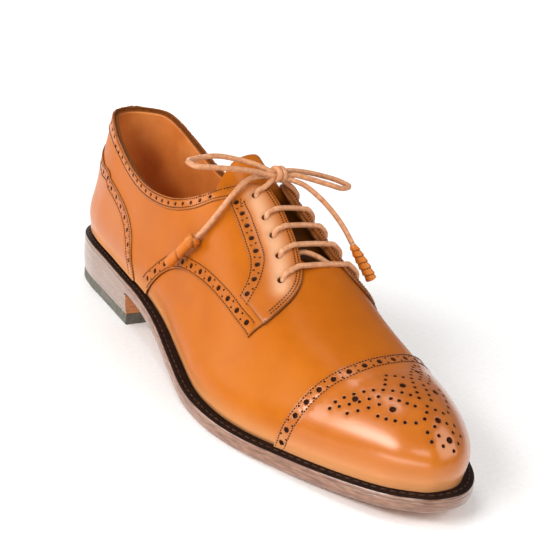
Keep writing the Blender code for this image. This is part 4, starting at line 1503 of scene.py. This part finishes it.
# lace bars: up through the eyelets and straight across the throat
bar = {
    # from this share of the way to the eyelet: lift off the leather, and the dive into the hole
    "from": 0.6, "points": 15, "lift": 3.4, "dive": 4.6, "diveFrom": 0.86, "diveOver": 0.14, "divePower": 2.2,
    "middlePoints": 9, "arch": 0.5,
    # the one under the facings that shows in the throat
    "under": 3, "underShare": 0.35, "underLift": -1.9, "underStep": 1.2,
}
# the knot: the loops' roots run through it, two turns of the cord hold them
knot = {
    "middle": (152, 2.6, 100.6), "leadPoints": 10, "wrapCorners": 28,
    "strands": [[(150.8, -2.4, 102.6), (151.4, 2.6, 102.6), (151.4, 10.2, 102.7)],
                [(150.9, -5.6, 101.9), (152.4, 2.6, 100.9), (154.8, 11.8, 101.5)],
                [(149.2, -2.6, 99.8), (152.2, 3, 100), (155.6, 8.7, 99.6)]],
    # centre, half width and half height, slant
    "wraps": [((151.8, 2.2, 101.4), (3.1, 2.9), 0.5), ((152.2, 4.9, 101.4), (3.1, 2.9), 0.3)],
}


def towardsEyelet(side, number, share):
    # stations and climbs at shares of the way from the spine to an eyelet
    station, gap = eyelet["places"][number]
    stations = np.full(len(share), station)
    return stations, math.pi / 2 - share * (math.pi / 2 - eyeletClimb(side, stations, gap))


def barRoute(number):
    share = np.linspace(bar["from"], 1, bar["points"])
    dive = np.clip((share - bar["diveFrom"]) / bar["diveOver"], 0, 1) ** bar["divePower"]
    lift = bar["lift"] - bar["dive"] * dive
    near, far = [lastPoint(side, *towardsEyelet(side, number, share), lift) for side in (outer, inner)]
    return near[::-1], far


def barLine(number):
    near, far = barRoute(number)
    middle = np.linspace(near[-1], far[0], bar["middlePoints"])
    middle[:, 2] += bar["arch"] * np.sin(np.linspace(0, math.pi, bar["middlePoints"]))
    return through(np.vstack([near, middle[1:-1], far]), lace["step"])


def underLine(number):
    # the lace's way down under the facings, from an outer eyelet to the next inner one
    share = np.array([1, bar["underShare"]])
    near = lastPoint(outer, *towardsEyelet(outer, number, share), bar["underLift"])
    far = lastPoint(inner, *towardsEyelet(inner, number + 1, share), bar["underLift"])
    return through(np.vstack([near, far[::-1]]), bar["underStep"])


def wrapRoute(centre, size, slant):
    ring = around(knot["wrapCorners"], np.array((size[0], slant, 0)), np.array((0, 0, size[1])))
    return np.array(centre) + ring


def makeBars():
    for number in range(1, len(eyelet["places"])):
        piece = cordCurve("laceBar%d" % number, [barLine(number)])
        settle(piece, "lace", "lace_bar_%d" % number)
    near, far = barRoute(0)
    lead = knot["leadPoints"]
    leads = [np.vstack([near[:lead], knot["middle"]]), np.vstack([knot["middle"], far[-lead:]])]
    strands = [through(route, lace["step"]) for route in leads + knot["strands"]]
    wraps = [wrapRoute(*row) for row in knot["wraps"]]
    piece = cordCurve("laceKnot", strands + wraps, len(strands))
    settle(piece, "lace", "lace_knot")
    settle(cordCurve("laceUnder", [underLine(bar["under"])]), "lace")


makeBars()
print("laces ready")
